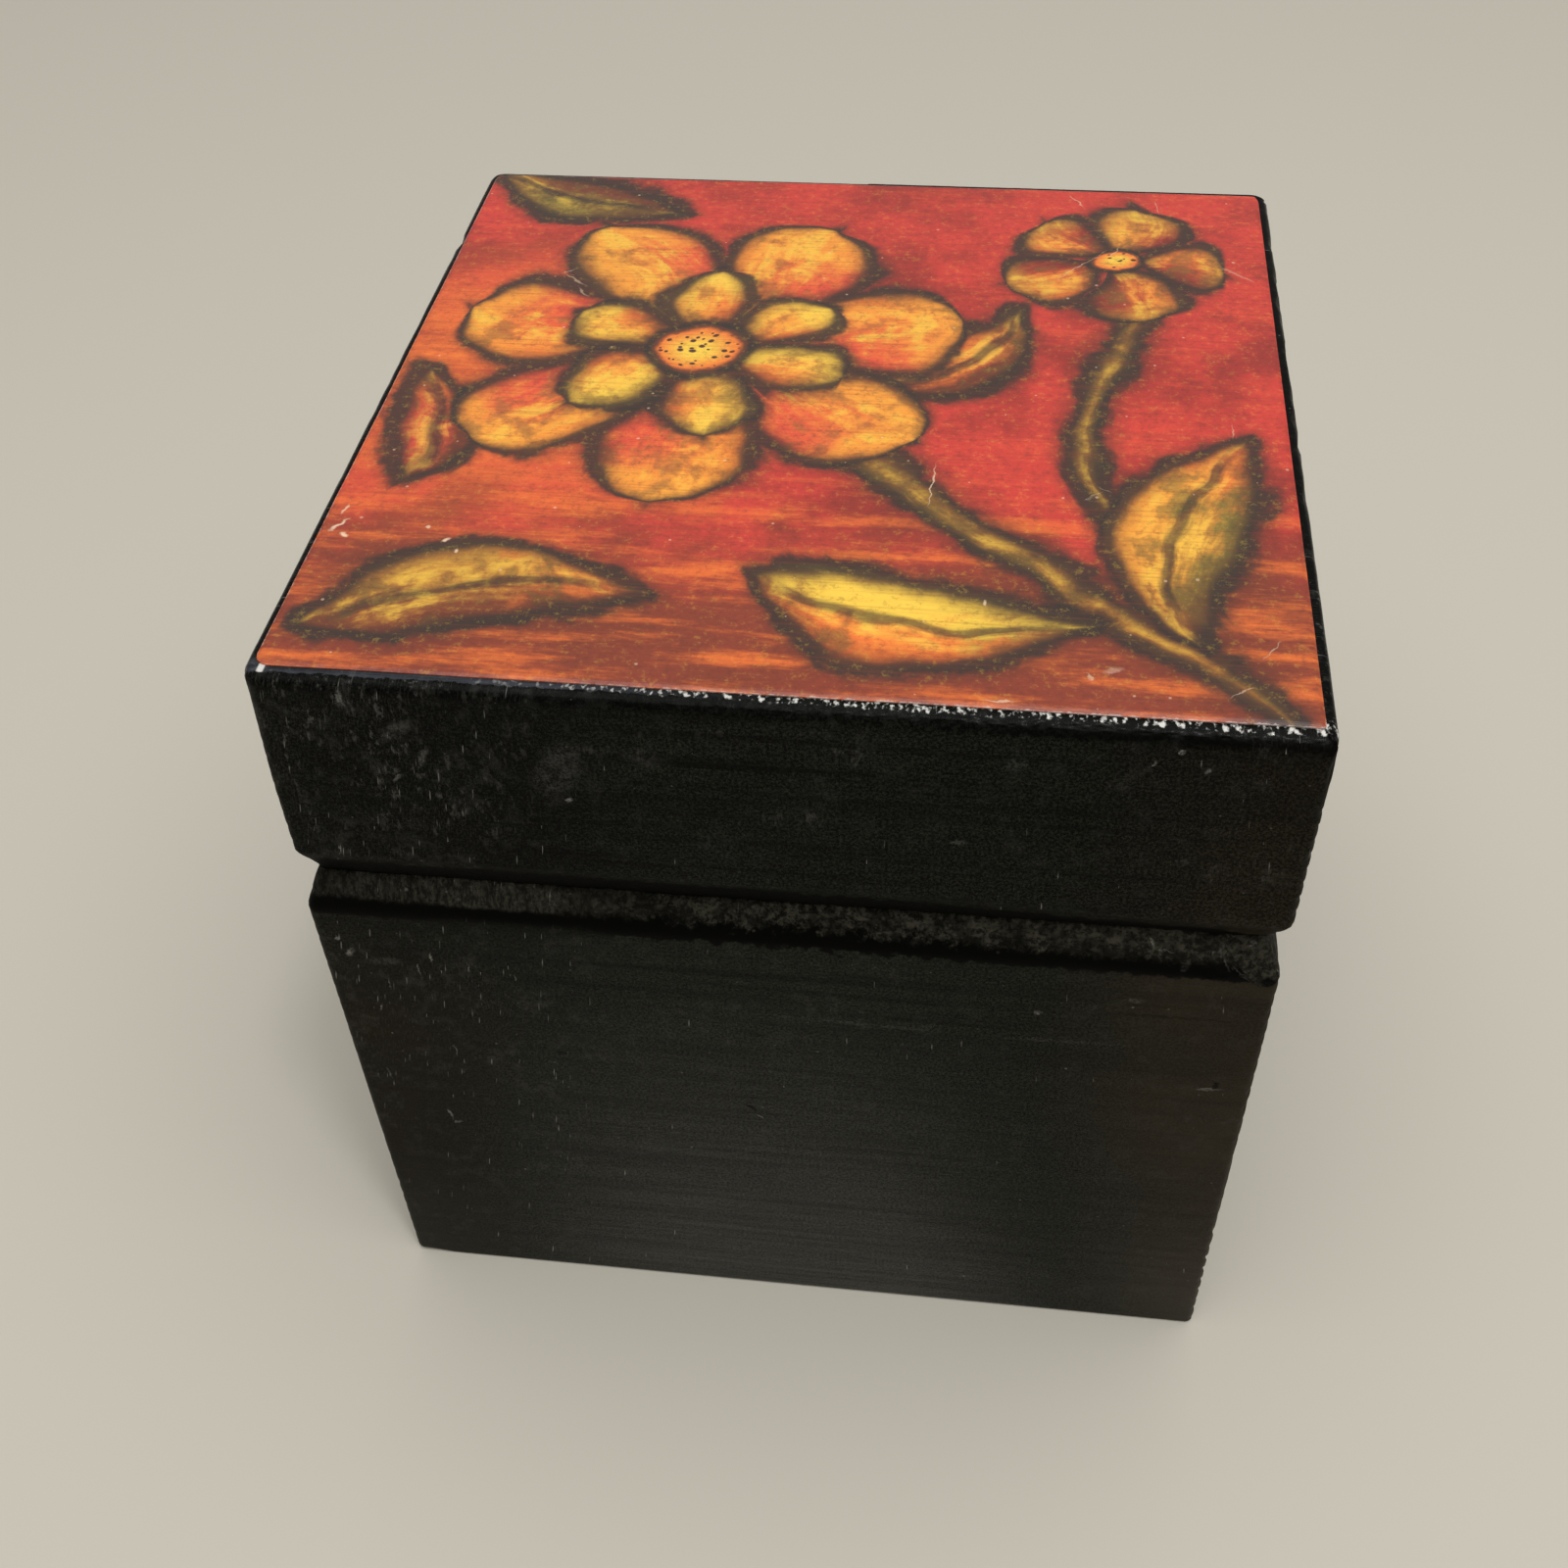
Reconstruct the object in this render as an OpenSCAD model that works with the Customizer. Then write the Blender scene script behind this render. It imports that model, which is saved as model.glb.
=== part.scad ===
// Square lacquered trinket box with a lift-off lid.
// Millimetres, +Z up, origin at the centre of the underside, front face towards -Y.
// Four butt-jointed boards round a floor make the base, and a thinner lining inside it
// stands proud of the rim as a lip. The lid is four rails under one full-size top panel.

/* [Box] */
// Width of the box, left to right
box_w = 100; // [80:1:150]
// Depth of the box, front to back
box_d = 100.6; // [80:0.1:150]
// Height of the base, from the underside to the seam
base_h = 72.3; // [45:0.1:120]
// Height of the lid's wood, from the seam to the top
lid_h = 27.8; // [20:0.1:60]

/* [Boards] */
// Thickness of the walls of the base
wall_t = 9; // [6:0.5:14]
// Thickness of the lid's top panel
top_t = 8; // [5:0.5:11]
// Thickness of the floor panel
floor_t = 6; // [3:0.5:12]

/* [Lining and lip] */
// Thickness of the lining boards
lining_t = 3; // [2:0.25:6]
// Height of the lip that the lining makes above the seam
lip_h = 5; // [3:0.5:8]
// Clearance between the lip and the inside of the lid, on each side
lid_clear = 0.3; // [0.15:0.05:0.6]
// Bevel on the outer top edge of the lip, which guides the lid on
lip_bevel = 0.8; // [0.2:0.1:1.5]

/* [Groove at the seam] */
// Depth of the groove into the faces of the box
groove_depth = 1.6; // [0.6:0.1:3]
// Height of the groove's slope on the lid
groove_up = 4.2; // [1:0.1:8]
// Height of the groove's slope on the base
groove_down = 4.5; // [1:0.1:8]

/* [Rounded edges] */
// Radius along the front edge of the top
top_front_r = 1.6; // [0.5:0.1:3]
// Radius along the other three edges of the top
top_edge_r = 1; // [0.5:0.1:3]
// Radius of the two upright corners at the front
front_corner_r = 1; // [0.5:0.1:3]
// Radius of the two upright corners at the rear
rear_corner_r = 2; // [0.5:0.1:3]
// Radius along the edges of the underside
foot_edge_r = 0.5; // [0.2:0.1:2]

/* [Picture sheet] */
// Thickness of the picture sheet with its varnish
sheet_t = 0.3; // [0.2:0.1:1]
// Distance from the start of a rounded edge to the edge of the sheet
sheet_set_in = 0.2; // [0:0.1:4]
// Radius of the sheet's corners at the rear
sheet_corner_r = 1.6; // [0.5:0.1:4]

/* [Hidden] */

// Colours, as the photo shows them
lacquer_colour = [0.05, 0.05, 0.045];
bare_wood_colour = [0.78, 0.62, 0.42];
picture_colour = [0.72, 0.2, 0.1];

// Overrun of every cut past the face it starts from
over = 1;
// Facet count of the round edges
round_fn = 64;

// Space inside the walls of the base
inner_w = box_w - 2 * wall_t;
inner_d = box_d - 2 * wall_t;
// The rails of the lid are thinner than the walls by the clearance of the lip
rail_t = wall_t - lid_clear;
rail_h = lid_h - top_t;
// The lining stands on the floor and ends above the seam
lining_h = base_h - floor_t + lip_h;
// Top of the lid's wood, where the picture lies
top_z = base_h + lid_h;

// Bar that cuts a round of radius r along an upright corner, which lies at (r, r) from the origin
module corner_cutter(r, h) {
    translate([0, 0, -over])
        difference() {
            cube([r + over, r + over, h + 2 * over]);
            translate([0, 0, -over])
                cylinder(h = h + 4 * over, r = r, $fn = round_fn);
        }
}

// The four upright corners of a box of w by d, each cut to its radius
module cut_corners(w, d, h, front_r, rear_r) {
    for (side = [0, 1]) {
        mirror([side, 0, 0]) {
            translate([w / 2 - rear_r, d / 2 - rear_r, 0])
                corner_cutter(rear_r, h);
            mirror([0, 1, 0])
                translate([w / 2 - front_r, d / 2 - front_r, 0])
                    corner_cutter(front_r, h);
        }
    }
}

// Bar along Y that cuts a round of radius r off the upper edge of a face at x = half, z = 0
module upper_edge_cutter(half, r, length) {
    translate([half - r, length / 2, -r])
        rotate([90, 0, 0])
            corner_cutter(r, length);
}

// Bar along Y that cuts the groove's slope off the lower edge of a face at x = half, z = 0
module slope_cutter(half, depth, height, length) {
    rise = height / depth;
    translate([half, length / 2 + over, 0])
        rotate([90, 0, 0])
            linear_extrude(height = length + 2 * over)
                polygon([
                    [-depth - over / rise, -over],
                    [over, -over],
                    [over, height + over * rise]
                ]);
}

// Puts a cutter made for the right-hand face on all four faces of the box
module on_left_and_right() {
    for (turn = [0, 180])
        rotate([0, 0, turn])
            children();
}

// Outer form of the base: upright corners, underside edges and its half of the groove
module base_form() {
    difference() {
        translate([-box_w / 2, -box_d / 2, 0])
            cube([box_w, box_d, base_h]);
        cut_corners(box_w, box_d, base_h, front_corner_r, rear_corner_r);
        mirror([0, 0, 1]) {
            on_left_and_right()
                upper_edge_cutter(box_w / 2, foot_edge_r, box_d);
            rotate([0, 0, 90])
                on_left_and_right()
                    upper_edge_cutter(box_d / 2, foot_edge_r, box_w);
        }
        translate([0, 0, base_h])
            mirror([0, 0, 1]) {
                on_left_and_right()
                    slope_cutter(box_w / 2, groove_depth, groove_down, box_d);
                rotate([0, 0, 90])
                    on_left_and_right()
                        slope_cutter(box_d / 2, groove_depth, groove_down, box_w);
            }
    }
}

// Outer form of the lid: its half of the groove, upright corners and rounded top edges
module lid_form() {
    difference() {
        translate([-box_w / 2, -box_d / 2, base_h])
            cube([box_w, box_d, lid_h]);
        translate([0, 0, base_h]) {
            cut_corners(box_w, box_d, lid_h, front_corner_r, rear_corner_r);
            on_left_and_right()
                slope_cutter(box_w / 2, groove_depth, groove_up, box_d);
            rotate([0, 0, 90])
                on_left_and_right()
                    slope_cutter(box_d / 2, groove_depth, groove_up, box_w);
        }
        translate([0, 0, top_z]) {
            on_left_and_right()
                upper_edge_cutter(box_w / 2, top_edge_r, box_d);
            rotate([0, 0, 90])
                upper_edge_cutter(box_d / 2, top_edge_r, box_w);
            rotate([0, 0, -90])
                upper_edge_cutter(box_d / 2, top_front_r, box_w);
        }
    }
}

// Front or rear board of a frame of four: it runs the full width
module long_board(end, thickness, z, h) {
    y = end < 0 ? -box_d / 2 : box_d / 2 - thickness;
    translate([-box_w / 2, y, z])
        cube([box_w, thickness, h]);
}

// Left or right board of a frame of four: it fits between the long boards
module short_board(end, thickness, z, h) {
    x = end < 0 ? -box_w / 2 : box_w / 2 - thickness;
    translate([x, -box_d / 2 + thickness, z])
        cube([thickness, box_d - 2 * thickness, h]);
}

module base_floor_panel() {
    color(bare_wood_colour)
        translate([-inner_w / 2, -inner_d / 2, 0])
            cube([inner_w, inner_d, floor_t]);
}

module base_front_board() {
    color(lacquer_colour)
        intersection() {
            base_form();
            long_board(-1, wall_t, 0, base_h);
        }
}

module base_rear_board() {
    color(lacquer_colour)
        intersection() {
            base_form();
            long_board(1, wall_t, 0, base_h);
        }
}

module base_left_board() {
    color(lacquer_colour)
        intersection() {
            base_form();
            short_board(-1, wall_t, 0, base_h);
        }
}

module base_right_board() {
    color(lacquer_colour)
        intersection() {
            base_form();
            short_board(1, wall_t, 0, base_h);
        }
}

// A lining board of the given length along X, its outer face on y = 0 and the box behind it
module lining_board(length) {
    translate([-length / 2, 0, floor_t])
        rotate([90, 0, 90])
            linear_extrude(height = length)
                polygon([
                    [0, 0],
                    [lining_t, 0],
                    [lining_t, lining_h],
                    [lip_bevel, lining_h],
                    [0, lining_h - lip_bevel]
                ]);
}

module lining_front_board() {
    color(bare_wood_colour)
        translate([0, -inner_d / 2, 0])
            lining_board(inner_w);
}

module lining_rear_board() {
    color(bare_wood_colour)
        rotate([0, 0, 180])
            translate([0, -inner_d / 2, 0])
                lining_board(inner_w);
}

module lining_left_board() {
    color(bare_wood_colour)
        rotate([0, 0, -90])
            translate([0, -inner_w / 2, 0])
                lining_board(inner_d - 2 * lining_t);
}

module lining_right_board() {
    color(bare_wood_colour)
        rotate([0, 0, 90])
            translate([0, -inner_w / 2, 0])
                lining_board(inner_d - 2 * lining_t);
}

module lid_front_rail() {
    color(lacquer_colour)
        intersection() {
            lid_form();
            long_board(-1, rail_t, base_h, rail_h);
        }
}

module lid_rear_rail() {
    color(lacquer_colour)
        intersection() {
            lid_form();
            long_board(1, rail_t, base_h, rail_h);
        }
}

module lid_left_rail() {
    color(lacquer_colour)
        intersection() {
            lid_form();
            short_board(-1, rail_t, base_h, rail_h);
        }
}

module lid_right_rail() {
    color(lacquer_colour)
        intersection() {
            lid_form();
            short_board(1, rail_t, base_h, rail_h);
        }
}

module lid_top_panel() {
    color(lacquer_colour)
        intersection() {
            lid_form();
            translate([-box_w / 2, -box_d / 2, base_h + rail_h])
                cube([box_w, box_d, top_t]);
        }
}

// The sheet covers the flat of the top, up to where the rounded edges start
module picture_sheet() {
    sheet_w = box_w - 2 * (top_edge_r + sheet_set_in);
    sheet_rear = box_d / 2 - top_edge_r - sheet_set_in;
    sheet_front = box_d / 2 - top_front_r - sheet_set_in;
    color(picture_colour)
        translate([0, 0, top_z])
            difference() {
                translate([-sheet_w / 2, -sheet_front, 0])
                    cube([sheet_w, sheet_front + sheet_rear, sheet_t]);
                for (side = [0, 1])
                    mirror([side, 0, 0])
                        translate([sheet_w / 2 - sheet_corner_r, sheet_rear - sheet_corner_r, 0])
                            corner_cutter(sheet_corner_r, sheet_t);
            }
}

base_floor_panel();
base_front_board();
base_rear_board();
base_left_board();
base_right_board();
lining_front_board();
lining_rear_board();
lining_left_board();
lining_right_board();
lid_front_rail();
lid_rear_rail();
lid_left_rail();
lid_right_rail();
lid_top_panel();
picture_sheet();
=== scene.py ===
import math

import bpy
import numpy as np
from mathutils import Matrix, Vector


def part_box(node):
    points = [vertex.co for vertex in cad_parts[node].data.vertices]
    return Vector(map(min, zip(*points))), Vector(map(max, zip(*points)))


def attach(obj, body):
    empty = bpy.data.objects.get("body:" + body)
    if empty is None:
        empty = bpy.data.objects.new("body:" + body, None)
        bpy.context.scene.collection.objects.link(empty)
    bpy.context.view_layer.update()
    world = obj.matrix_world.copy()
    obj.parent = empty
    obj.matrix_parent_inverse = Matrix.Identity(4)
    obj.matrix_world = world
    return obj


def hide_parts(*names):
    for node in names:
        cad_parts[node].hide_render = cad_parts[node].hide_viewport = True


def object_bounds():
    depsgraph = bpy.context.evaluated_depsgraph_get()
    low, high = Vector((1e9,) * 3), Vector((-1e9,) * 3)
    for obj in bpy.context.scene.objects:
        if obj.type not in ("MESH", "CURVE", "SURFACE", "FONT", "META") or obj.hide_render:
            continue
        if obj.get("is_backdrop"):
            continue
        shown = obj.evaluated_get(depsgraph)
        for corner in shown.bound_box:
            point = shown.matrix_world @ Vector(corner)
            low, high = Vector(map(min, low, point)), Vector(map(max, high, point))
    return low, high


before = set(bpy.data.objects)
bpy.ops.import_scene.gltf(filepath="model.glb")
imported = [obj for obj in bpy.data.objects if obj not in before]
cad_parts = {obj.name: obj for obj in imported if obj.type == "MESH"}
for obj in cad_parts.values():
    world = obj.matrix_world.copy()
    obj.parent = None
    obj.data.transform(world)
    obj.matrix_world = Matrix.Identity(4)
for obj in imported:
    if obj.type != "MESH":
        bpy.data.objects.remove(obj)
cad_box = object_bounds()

# Lengths in this script are in millimetres unless a name says otherwise; Blender gets metres.
MM = 0.001


def box_mm(node):
    """Lowest and highest corner of a CAD node, in millimetres."""
    low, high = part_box(node)
    return np.array(low) / MM, np.array(high) / MM


HALF_W, HALF_D = (float(value) / MM for value in cad_box[1][:2])
SEAM_Z = float(box_mm("base_front_board")[1][2])
LID_TOP_Z = float(box_mm("lid_top_panel")[1][2])
PANEL_Z = float(box_mm("lid_top_panel")[0][2])
BASE_WALL = float(box_mm("base_left_board")[1][0]) + HALF_W
LID_WALL = float(box_mm("lid_left_rail")[1][0]) + HALF_W

# Groove at the seam, as in the CAD
GROOVE_DEPTH = 1.6
GROOVE_UP = 4.2
GROOVE_UP_RIGHT = 3.3
GROOVE_DOWN = 4.5
CRACK_DEPTH = 0.35
CRACK_WIDTH = 0.22

# Rounded edges
TOP_SIDE_R = 1.0
TOP_RIGHT_R = 0.8
TOP_FRONT_R_LEFT = 1.0
TOP_FRONT_R_RIGHT = 1.6
CORNER_R_FRONT = 1.0
CORNER_R_REAR = 2.0
FOOT_R = 0.5
BARE_EDGE_R = 0.35

# The lid sits a little to the right on the base, within the play of its lip
LID_LEFT_INSET = 0.53
BASE_RIGHT_INSET = 0.02

RING_PITCH = 1.9
NOISE_CELLS = 64
NOISE_TABLE = np.random.default_rng(11).uniform(-1, 1, (NOISE_CELLS,) * 3)


def noise(points, size, seed=0):
    """Smooth random values from -1 to 1 at points, with cells of the given size (one number or three)."""
    q = points / np.array(size) + seed * 7.31
    cell = np.floor(q).astype(int)
    part = q - cell
    part = part * part * (3 - 2 * part)
    total = np.zeros(len(points))
    for corner in np.ndindex(2, 2, 2):
        weight = np.prod(np.where(corner, part, 1 - part), axis=1)
        i, j, k = ((cell + corner) % NOISE_CELLS).T
        total += weight * NOISE_TABLE[i, j, k]
    return total


def roughly(points, size, seed=0):
    """Smooth random values from 0 to 1."""
    return 0.5 + 0.5 * noise(points, size, seed)


def rise(value, low, high):
    """Smooth step from 0 at low to 1 at high."""
    t = np.clip((value - low) / (high - low), 0, 1)
    return t * t * (3 - 2 * t)


# Boards: the grain that stands out on them

# Where the heart of the tree lies beside each board, across its grain: (other horizontal axis, z)
FRONT_HEART = (-HALF_D + 16, 31)
REAR_HEART = (HALF_D - 22, 58)
LEFT_HEART = (-HALF_W + 20, 22)
RIGHT_HEART = (HALF_W - 15, 44)
TOP_HEART = (12, LID_TOP_Z - 19)

# Depth of the hollows between the growth rings
RIGHT_END_DEPTH = 0.4
LEFT_END_DEPTH = 0.12
LONG_GRAIN_DEPTH = 0.014

# Nick on the left edge of the top, and the scar that crosses the groove
NICK_Y = 32.3
NICK_DEPTH = 0.5
SCAR_X = 45.2
SCAR_HEIGHT = 0.45
SCAR_WIDTH = 0.55


def ring_phase(across, z, heart, along):
    """Count of growth rings from the heart of the tree to each point of a board."""
    radius = np.hypot(across - heart[0], z - heart[1])
    sway = noise(np.column_stack([along, across, z]), (45, 20, 20), 3)
    return (radius + 0.9 * sway) / RING_PITCH


def ridge(phase):
    """Depth over one growth ring: a notch in the soft early wood, just before the hard late wood."""
    ring = np.floor(phase)
    part = phase - ring
    share = 0.25 + 0.75 * (0.5 + 0.5 * NOISE_TABLE[ring.astype(int) % NOISE_CELLS, 5, 9])
    return share * rise(part, 0.4, 0.8) * (1 - rise(part, 0.85, 1.0))


def face_texture(p, shows_ends):
    """Depths of the wood's relief on the left and right faces, and on the front and rear faces.

    The left and right faces show end grain where a board runs the full width of the box."""
    x, y, z = p.T
    right, rear = x > 0, y > 0
    long_heart = [np.where(rear, *pair) for pair in zip(REAR_HEART, FRONT_HEART)]
    side_heart = [np.where(right, *pair) for pair in zip(RIGHT_HEART, LEFT_HEART)]
    long_phase = ring_phase(y, z, long_heart, x)
    if shows_ends:
        end_phase = np.where(z > PANEL_Z + 0.01, ring_phase(y, z, TOP_HEART, x), long_phase)
        depth = np.where(right, RIGHT_END_DEPTH, LEFT_END_DEPTH)
        sides = depth * (0.8 * ridge(end_phase) + 0.2 * roughly(p, 1.1, 1))
    else:
        sides = LONG_GRAIN_DEPTH * (ridge(ring_phase(x, z, side_heart, y)) + roughly(p, (3, 18, 3), 2))
    fronts = LONG_GRAIN_DEPTH * (ridge(long_phase) + roughly(p, (18, 2.4, 2.4), 4))
    return sides, fronts


# Boards: the outer form


def groove_inset(x, z):
    """How far the faces lie in at each height, for the V groove with its softened edges."""
    up = GROOVE_UP + (GROOVE_UP_RIGHT - GROOVE_UP) * rise(x, 15, HALF_W - 3)
    slope = np.where(z >= SEAM_Z, 1 - (z - SEAM_Z) / up, 1 - (SEAM_Z - z) / GROOVE_DOWN)
    soft = 0.06 - 0.045 * rise(x, 20, HALF_W)
    slope = 0.5 * (slope + np.sqrt(slope * slope + soft * soft)) - 0.5 * soft
    crack = CRACK_DEPTH * np.exp(-np.abs(z - SEAM_Z) / CRACK_WIDTH)
    return np.clip(GROOVE_DEPTH * slope, 0, GROOVE_DEPTH) + crack


def groove_rubble(p, in_groove, on_lid):
    """Roughness of the cut faces of the groove, which is coarse on the base and grows to the right."""
    coarse = 0.2 * roughly(p, (1.3, 1.3, 0.8), 5) + 0.12 * roughly(p, 2.6, 6)
    x = p[:, 0]
    share = 0.35 + 0.5 * rise(np.abs(x), 43, 47) if on_lid else 0.3 + 0.7 * rise(x, -30, 0)
    return in_groove * coarse * share


def scar(p):
    """Height of the curved ridge that crosses the groove near its right end."""
    x, y, z = p.T
    t = (SEAM_Z - z) / GROOVE_DOWN
    line = SCAR_X - 1.6 + 3.0 * t * t
    on_base_front = (y < -HALF_D + 3) & (t > -0.1) & (t < 1.05)
    return on_base_front * SCAR_HEIGHT * np.exp(-((x - line) / SCAR_WIDTH) ** 2)


def relief(p, way_x, way_y, shows_ends, on_lid):
    """Depth of the wood's relief below the plain form, whose outward way is given at each point."""
    x, y, z = p.T
    groove = groove_inset(x, z)
    rubble = groove_rubble(p, rise(groove, 0.15, 0.8), on_lid)
    sides, fronts = face_texture(p, shows_ends)
    nick = NICK_DEPTH * np.exp(-((y - NICK_Y) ** 2)) * (x < 0) * rise(z, LID_TOP_Z - 7, LID_TOP_Z - 2)
    total = (sides + nick) * way_x**2 + fronts * way_y**2 + rubble - scar(p)
    return np.maximum(total, -groove)


def round_off(first, second, radius):
    """Depths below two faces that meet, moved onto a round between the faces."""
    a = np.clip(radius - first, 0, None)
    b = np.clip(radius - second, 0, None)
    both = (a > 0) & (b > 0)
    shrink = np.where(both, np.maximum(a, b) / np.maximum(np.hypot(a, b), 1e-9), 1)
    return np.where(both, radius - a * shrink, first), np.where(both, radius - b * shrink, second)


def outline_depth(deep_x, deep_y, corner):
    """Depth below the box's rounded outline, and the x and y parts of the way in."""
    reach_x, reach_y = np.clip(corner - deep_x, 0, None), np.clip(corner - deep_y, 0, None)
    turning = (reach_x > 0) & (reach_y > 0)
    depth = np.where(turning, corner - np.hypot(reach_x, reach_y), np.minimum(deep_x, deep_y))
    way_x = np.where(turning, reach_x, deep_x <= deep_y)
    way_y = np.where(turning, reach_y, deep_y < deep_x)
    length = np.maximum(np.hypot(way_x, way_y), 1e-9)
    return depth, way_x / length, way_y / length


def top_edge_radius(x, way_y):
    """Radius of the top's edge, which is largest at the right end of the front."""
    front_r = TOP_FRONT_R_LEFT + (TOP_FRONT_R_RIGHT - TOP_FRONT_R_LEFT) * rise(x, -HALF_W, HALF_W)
    side_r = np.where(x > 0, TOP_RIGHT_R, TOP_SIDE_R)
    return side_r + (front_r - side_r) * np.where(way_y > 0, way_y, 0) ** 2


def foot_radius(x, y):
    """Radius of the foot's edge, which is worn most at the left front corner."""
    return FOOT_R + 0.6 * rise(-x - y, HALF_W + HALF_D - 6, HALF_W + HALF_D - 1)


def varnish_lumps(p, way_y):
    """Depth of the hollows between lumps of varnish, largest on the right half of the top's front edge."""
    front = np.where(p[:, 1] < 0, way_y, 0) ** 2
    size = 0.04 + 0.22 * front * rise(p[:, 0], -25, 20)
    return size * (0.6 * roughly(p, (0.8, 0.8, 0.9), 8) + 0.4 * roughly(p, (0.45, 0.5, 0.5), 9))


def shaped(p, shows_ends, wall, on_lid):
    """Moves the points of a plain board to the worn, rounded and grooved outer form of the box."""
    x, y, z = p.T
    # The lid's left front corner is worn rounder towards its top
    worn = 1.3 * rise(z, LID_TOP_Z - 16, LID_TOP_Z) * (x < 0) * on_lid
    corner = np.where(y < 0, CORNER_R_FRONT + worn, CORNER_R_REAR)
    deep_x, deep_y = round_off(HALF_W - np.abs(x), HALF_D - np.abs(y), corner)
    depth, way_x, way_y = outline_depth(deep_x, deep_y, corner)
    from_end = LID_TOP_Z - z if on_lid else z
    edge_r = top_edge_radius(x, np.where(y < 0, way_y, 0)) if on_lid else foot_radius(x, y)
    new_depth, new_from_end = round_off(depth, from_end, edge_r)
    if on_lid:
        near_edge = rise(np.minimum(edge_r - depth, edge_r - from_end), 0.0, 0.45)
        lumps = 0.7 * near_edge * varnish_lumps(p, way_y)
        new_depth, new_from_end = new_depth + lumps, new_from_end + lumps
    # Nothing moves on the inner side of the wall
    carved = relief(p, way_x, way_y, shows_ends, on_lid)
    inward = new_depth - depth + carved * np.clip(1 - depth / wall, 0, 1)
    groove = groove_inset(x, z)
    shift = LID_LEFT_INSET * (x < 0) if on_lid else BASE_RIGHT_INSET * (x > 0)
    deep_x = deep_x + (groove + shift) * np.clip(1 - deep_x / wall, 0, 1) + inward * way_x
    deep_y = deep_y + groove * np.clip(1 - deep_y / wall, 0, 1) + inward * way_y
    new_z = LID_TOP_Z - new_from_end if on_lid else new_from_end
    return np.column_stack([np.sign(x) * (HALF_W - deep_x), np.sign(y) * (HALF_D - deep_y), new_z])


# Boards: meshes

# Places of the grid lines from the end of a piece: at a worn edge, a glued joint, the foot, the edge of a
# bare board, and the edge of the sheet
EDGE_CUTS = (0, 0.1, 0.25, 0.42, 0.6, 0.8, 1.05, 1.35, 1.7, 2.1, 2.6)
JOINT_CUTS = (0, 0.12, 0.3, 0.6)
FOOT_CUTS = EDGE_CUTS[:6]
SOFT_CUTS = (0, 0.12, 0.35, 0.7)
SHEET_CUTS = (0, 0.1, 0.25, 0.5, 0.9, 1.4, 2)

# Steps of the grid further in, and the angle from which an edge is drawn sharp
LONG_STEP = 2.0
SIDE_STEP = 0.9
HEIGHT_STEP = 0.4
BARE_STEP = 2.5
SHEET_STEP = 1.2
SHARP_ANGLE = math.radians(48)


def cuts(low, high, step, at_low, at_high):
    """Places of the grid lines across a board: an even step, with closer lines near its ends."""
    first, last = low + max(at_low), high - max(at_high)
    count = max(1, round((last - first) / step))
    near = [low + c for c in at_low] + [high - c for c in at_high]
    return np.unique(np.round([*near, *np.linspace(first, last, count + 1)], 5))


def shell(xs, ys, zs):
    """Points and quads of the surface of a box gridded by the given lines."""
    sizes = (len(xs), len(ys), len(zs))
    on_skin = np.ones(sizes, bool)
    on_skin[1:-1, 1:-1, 1:-1] = False
    lattice = np.full(sizes, -1)
    lattice[on_skin] = np.arange(on_skin.sum())
    grid = np.stack(np.meshgrid(xs, ys, zs, indexing="ij"), axis=-1)
    quads = []
    for axis in range(3):
        for end in (0, -1):
            side = np.take(lattice, end, axis=axis)
            a, b, c, d = side[:-1, :-1], side[1:, :-1], side[1:, 1:], side[:-1, 1:]
            turned = (end == 0) != (axis == 1)
            order = (a, d, c, b) if turned else (a, b, c, d)
            quads.append(np.stack(order, axis=-1).reshape(-1, 4))
    return grid[on_skin], np.concatenate(quads)


def mesh_object(name, points, quads, body, node):
    """A new piece that stands for a CAD node, from points in millimetres."""
    mesh = bpy.data.meshes.new(name)
    mesh.from_pydata((points * MM).tolist(), [], quads.tolist())
    mesh.polygons.foreach_set("use_smooth", [True] * len(mesh.polygons))
    mesh.set_sharp_from_angle(angle=SHARP_ANGLE)
    mesh.update()
    piece = bpy.data.objects.new(name, mesh)
    bpy.context.scene.collection.objects.link(piece)
    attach(piece, body)
    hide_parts(node)
    return piece


def store(piece, name, values):
    """Keeps one number or one vector for each point of a piece, for its material to read."""
    kind, key = ("FLOAT", "value") if values.ndim == 1 else ("FLOAT_VECTOR", "vector")
    layer = piece.data.attributes.new(name, kind, "POINT")
    layer.data.foreach_set(key, values.astype(np.float32).ravel())


def grain_place(p, along_x, heart):
    """Position along the grain, and across it from the heart of the tree."""
    x, y, z = p.T
    along, across = (x, y) if along_x else (y, x)
    return np.column_stack([along, across - heart[0], z - heart[1]])


def board_cuts(low, high, ends, step, at_start=EDGE_CUTS):
    """Places of the grid lines across a board, closer where it ends at the outside of the box."""
    at_low = at_start if low < ends[0] + 1 else JOINT_CUTS
    at_high = EDGE_CUTS if high > ends[1] - 1 else JOINT_CUTS
    return cuts(low, high, step, at_low, at_high)


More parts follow.
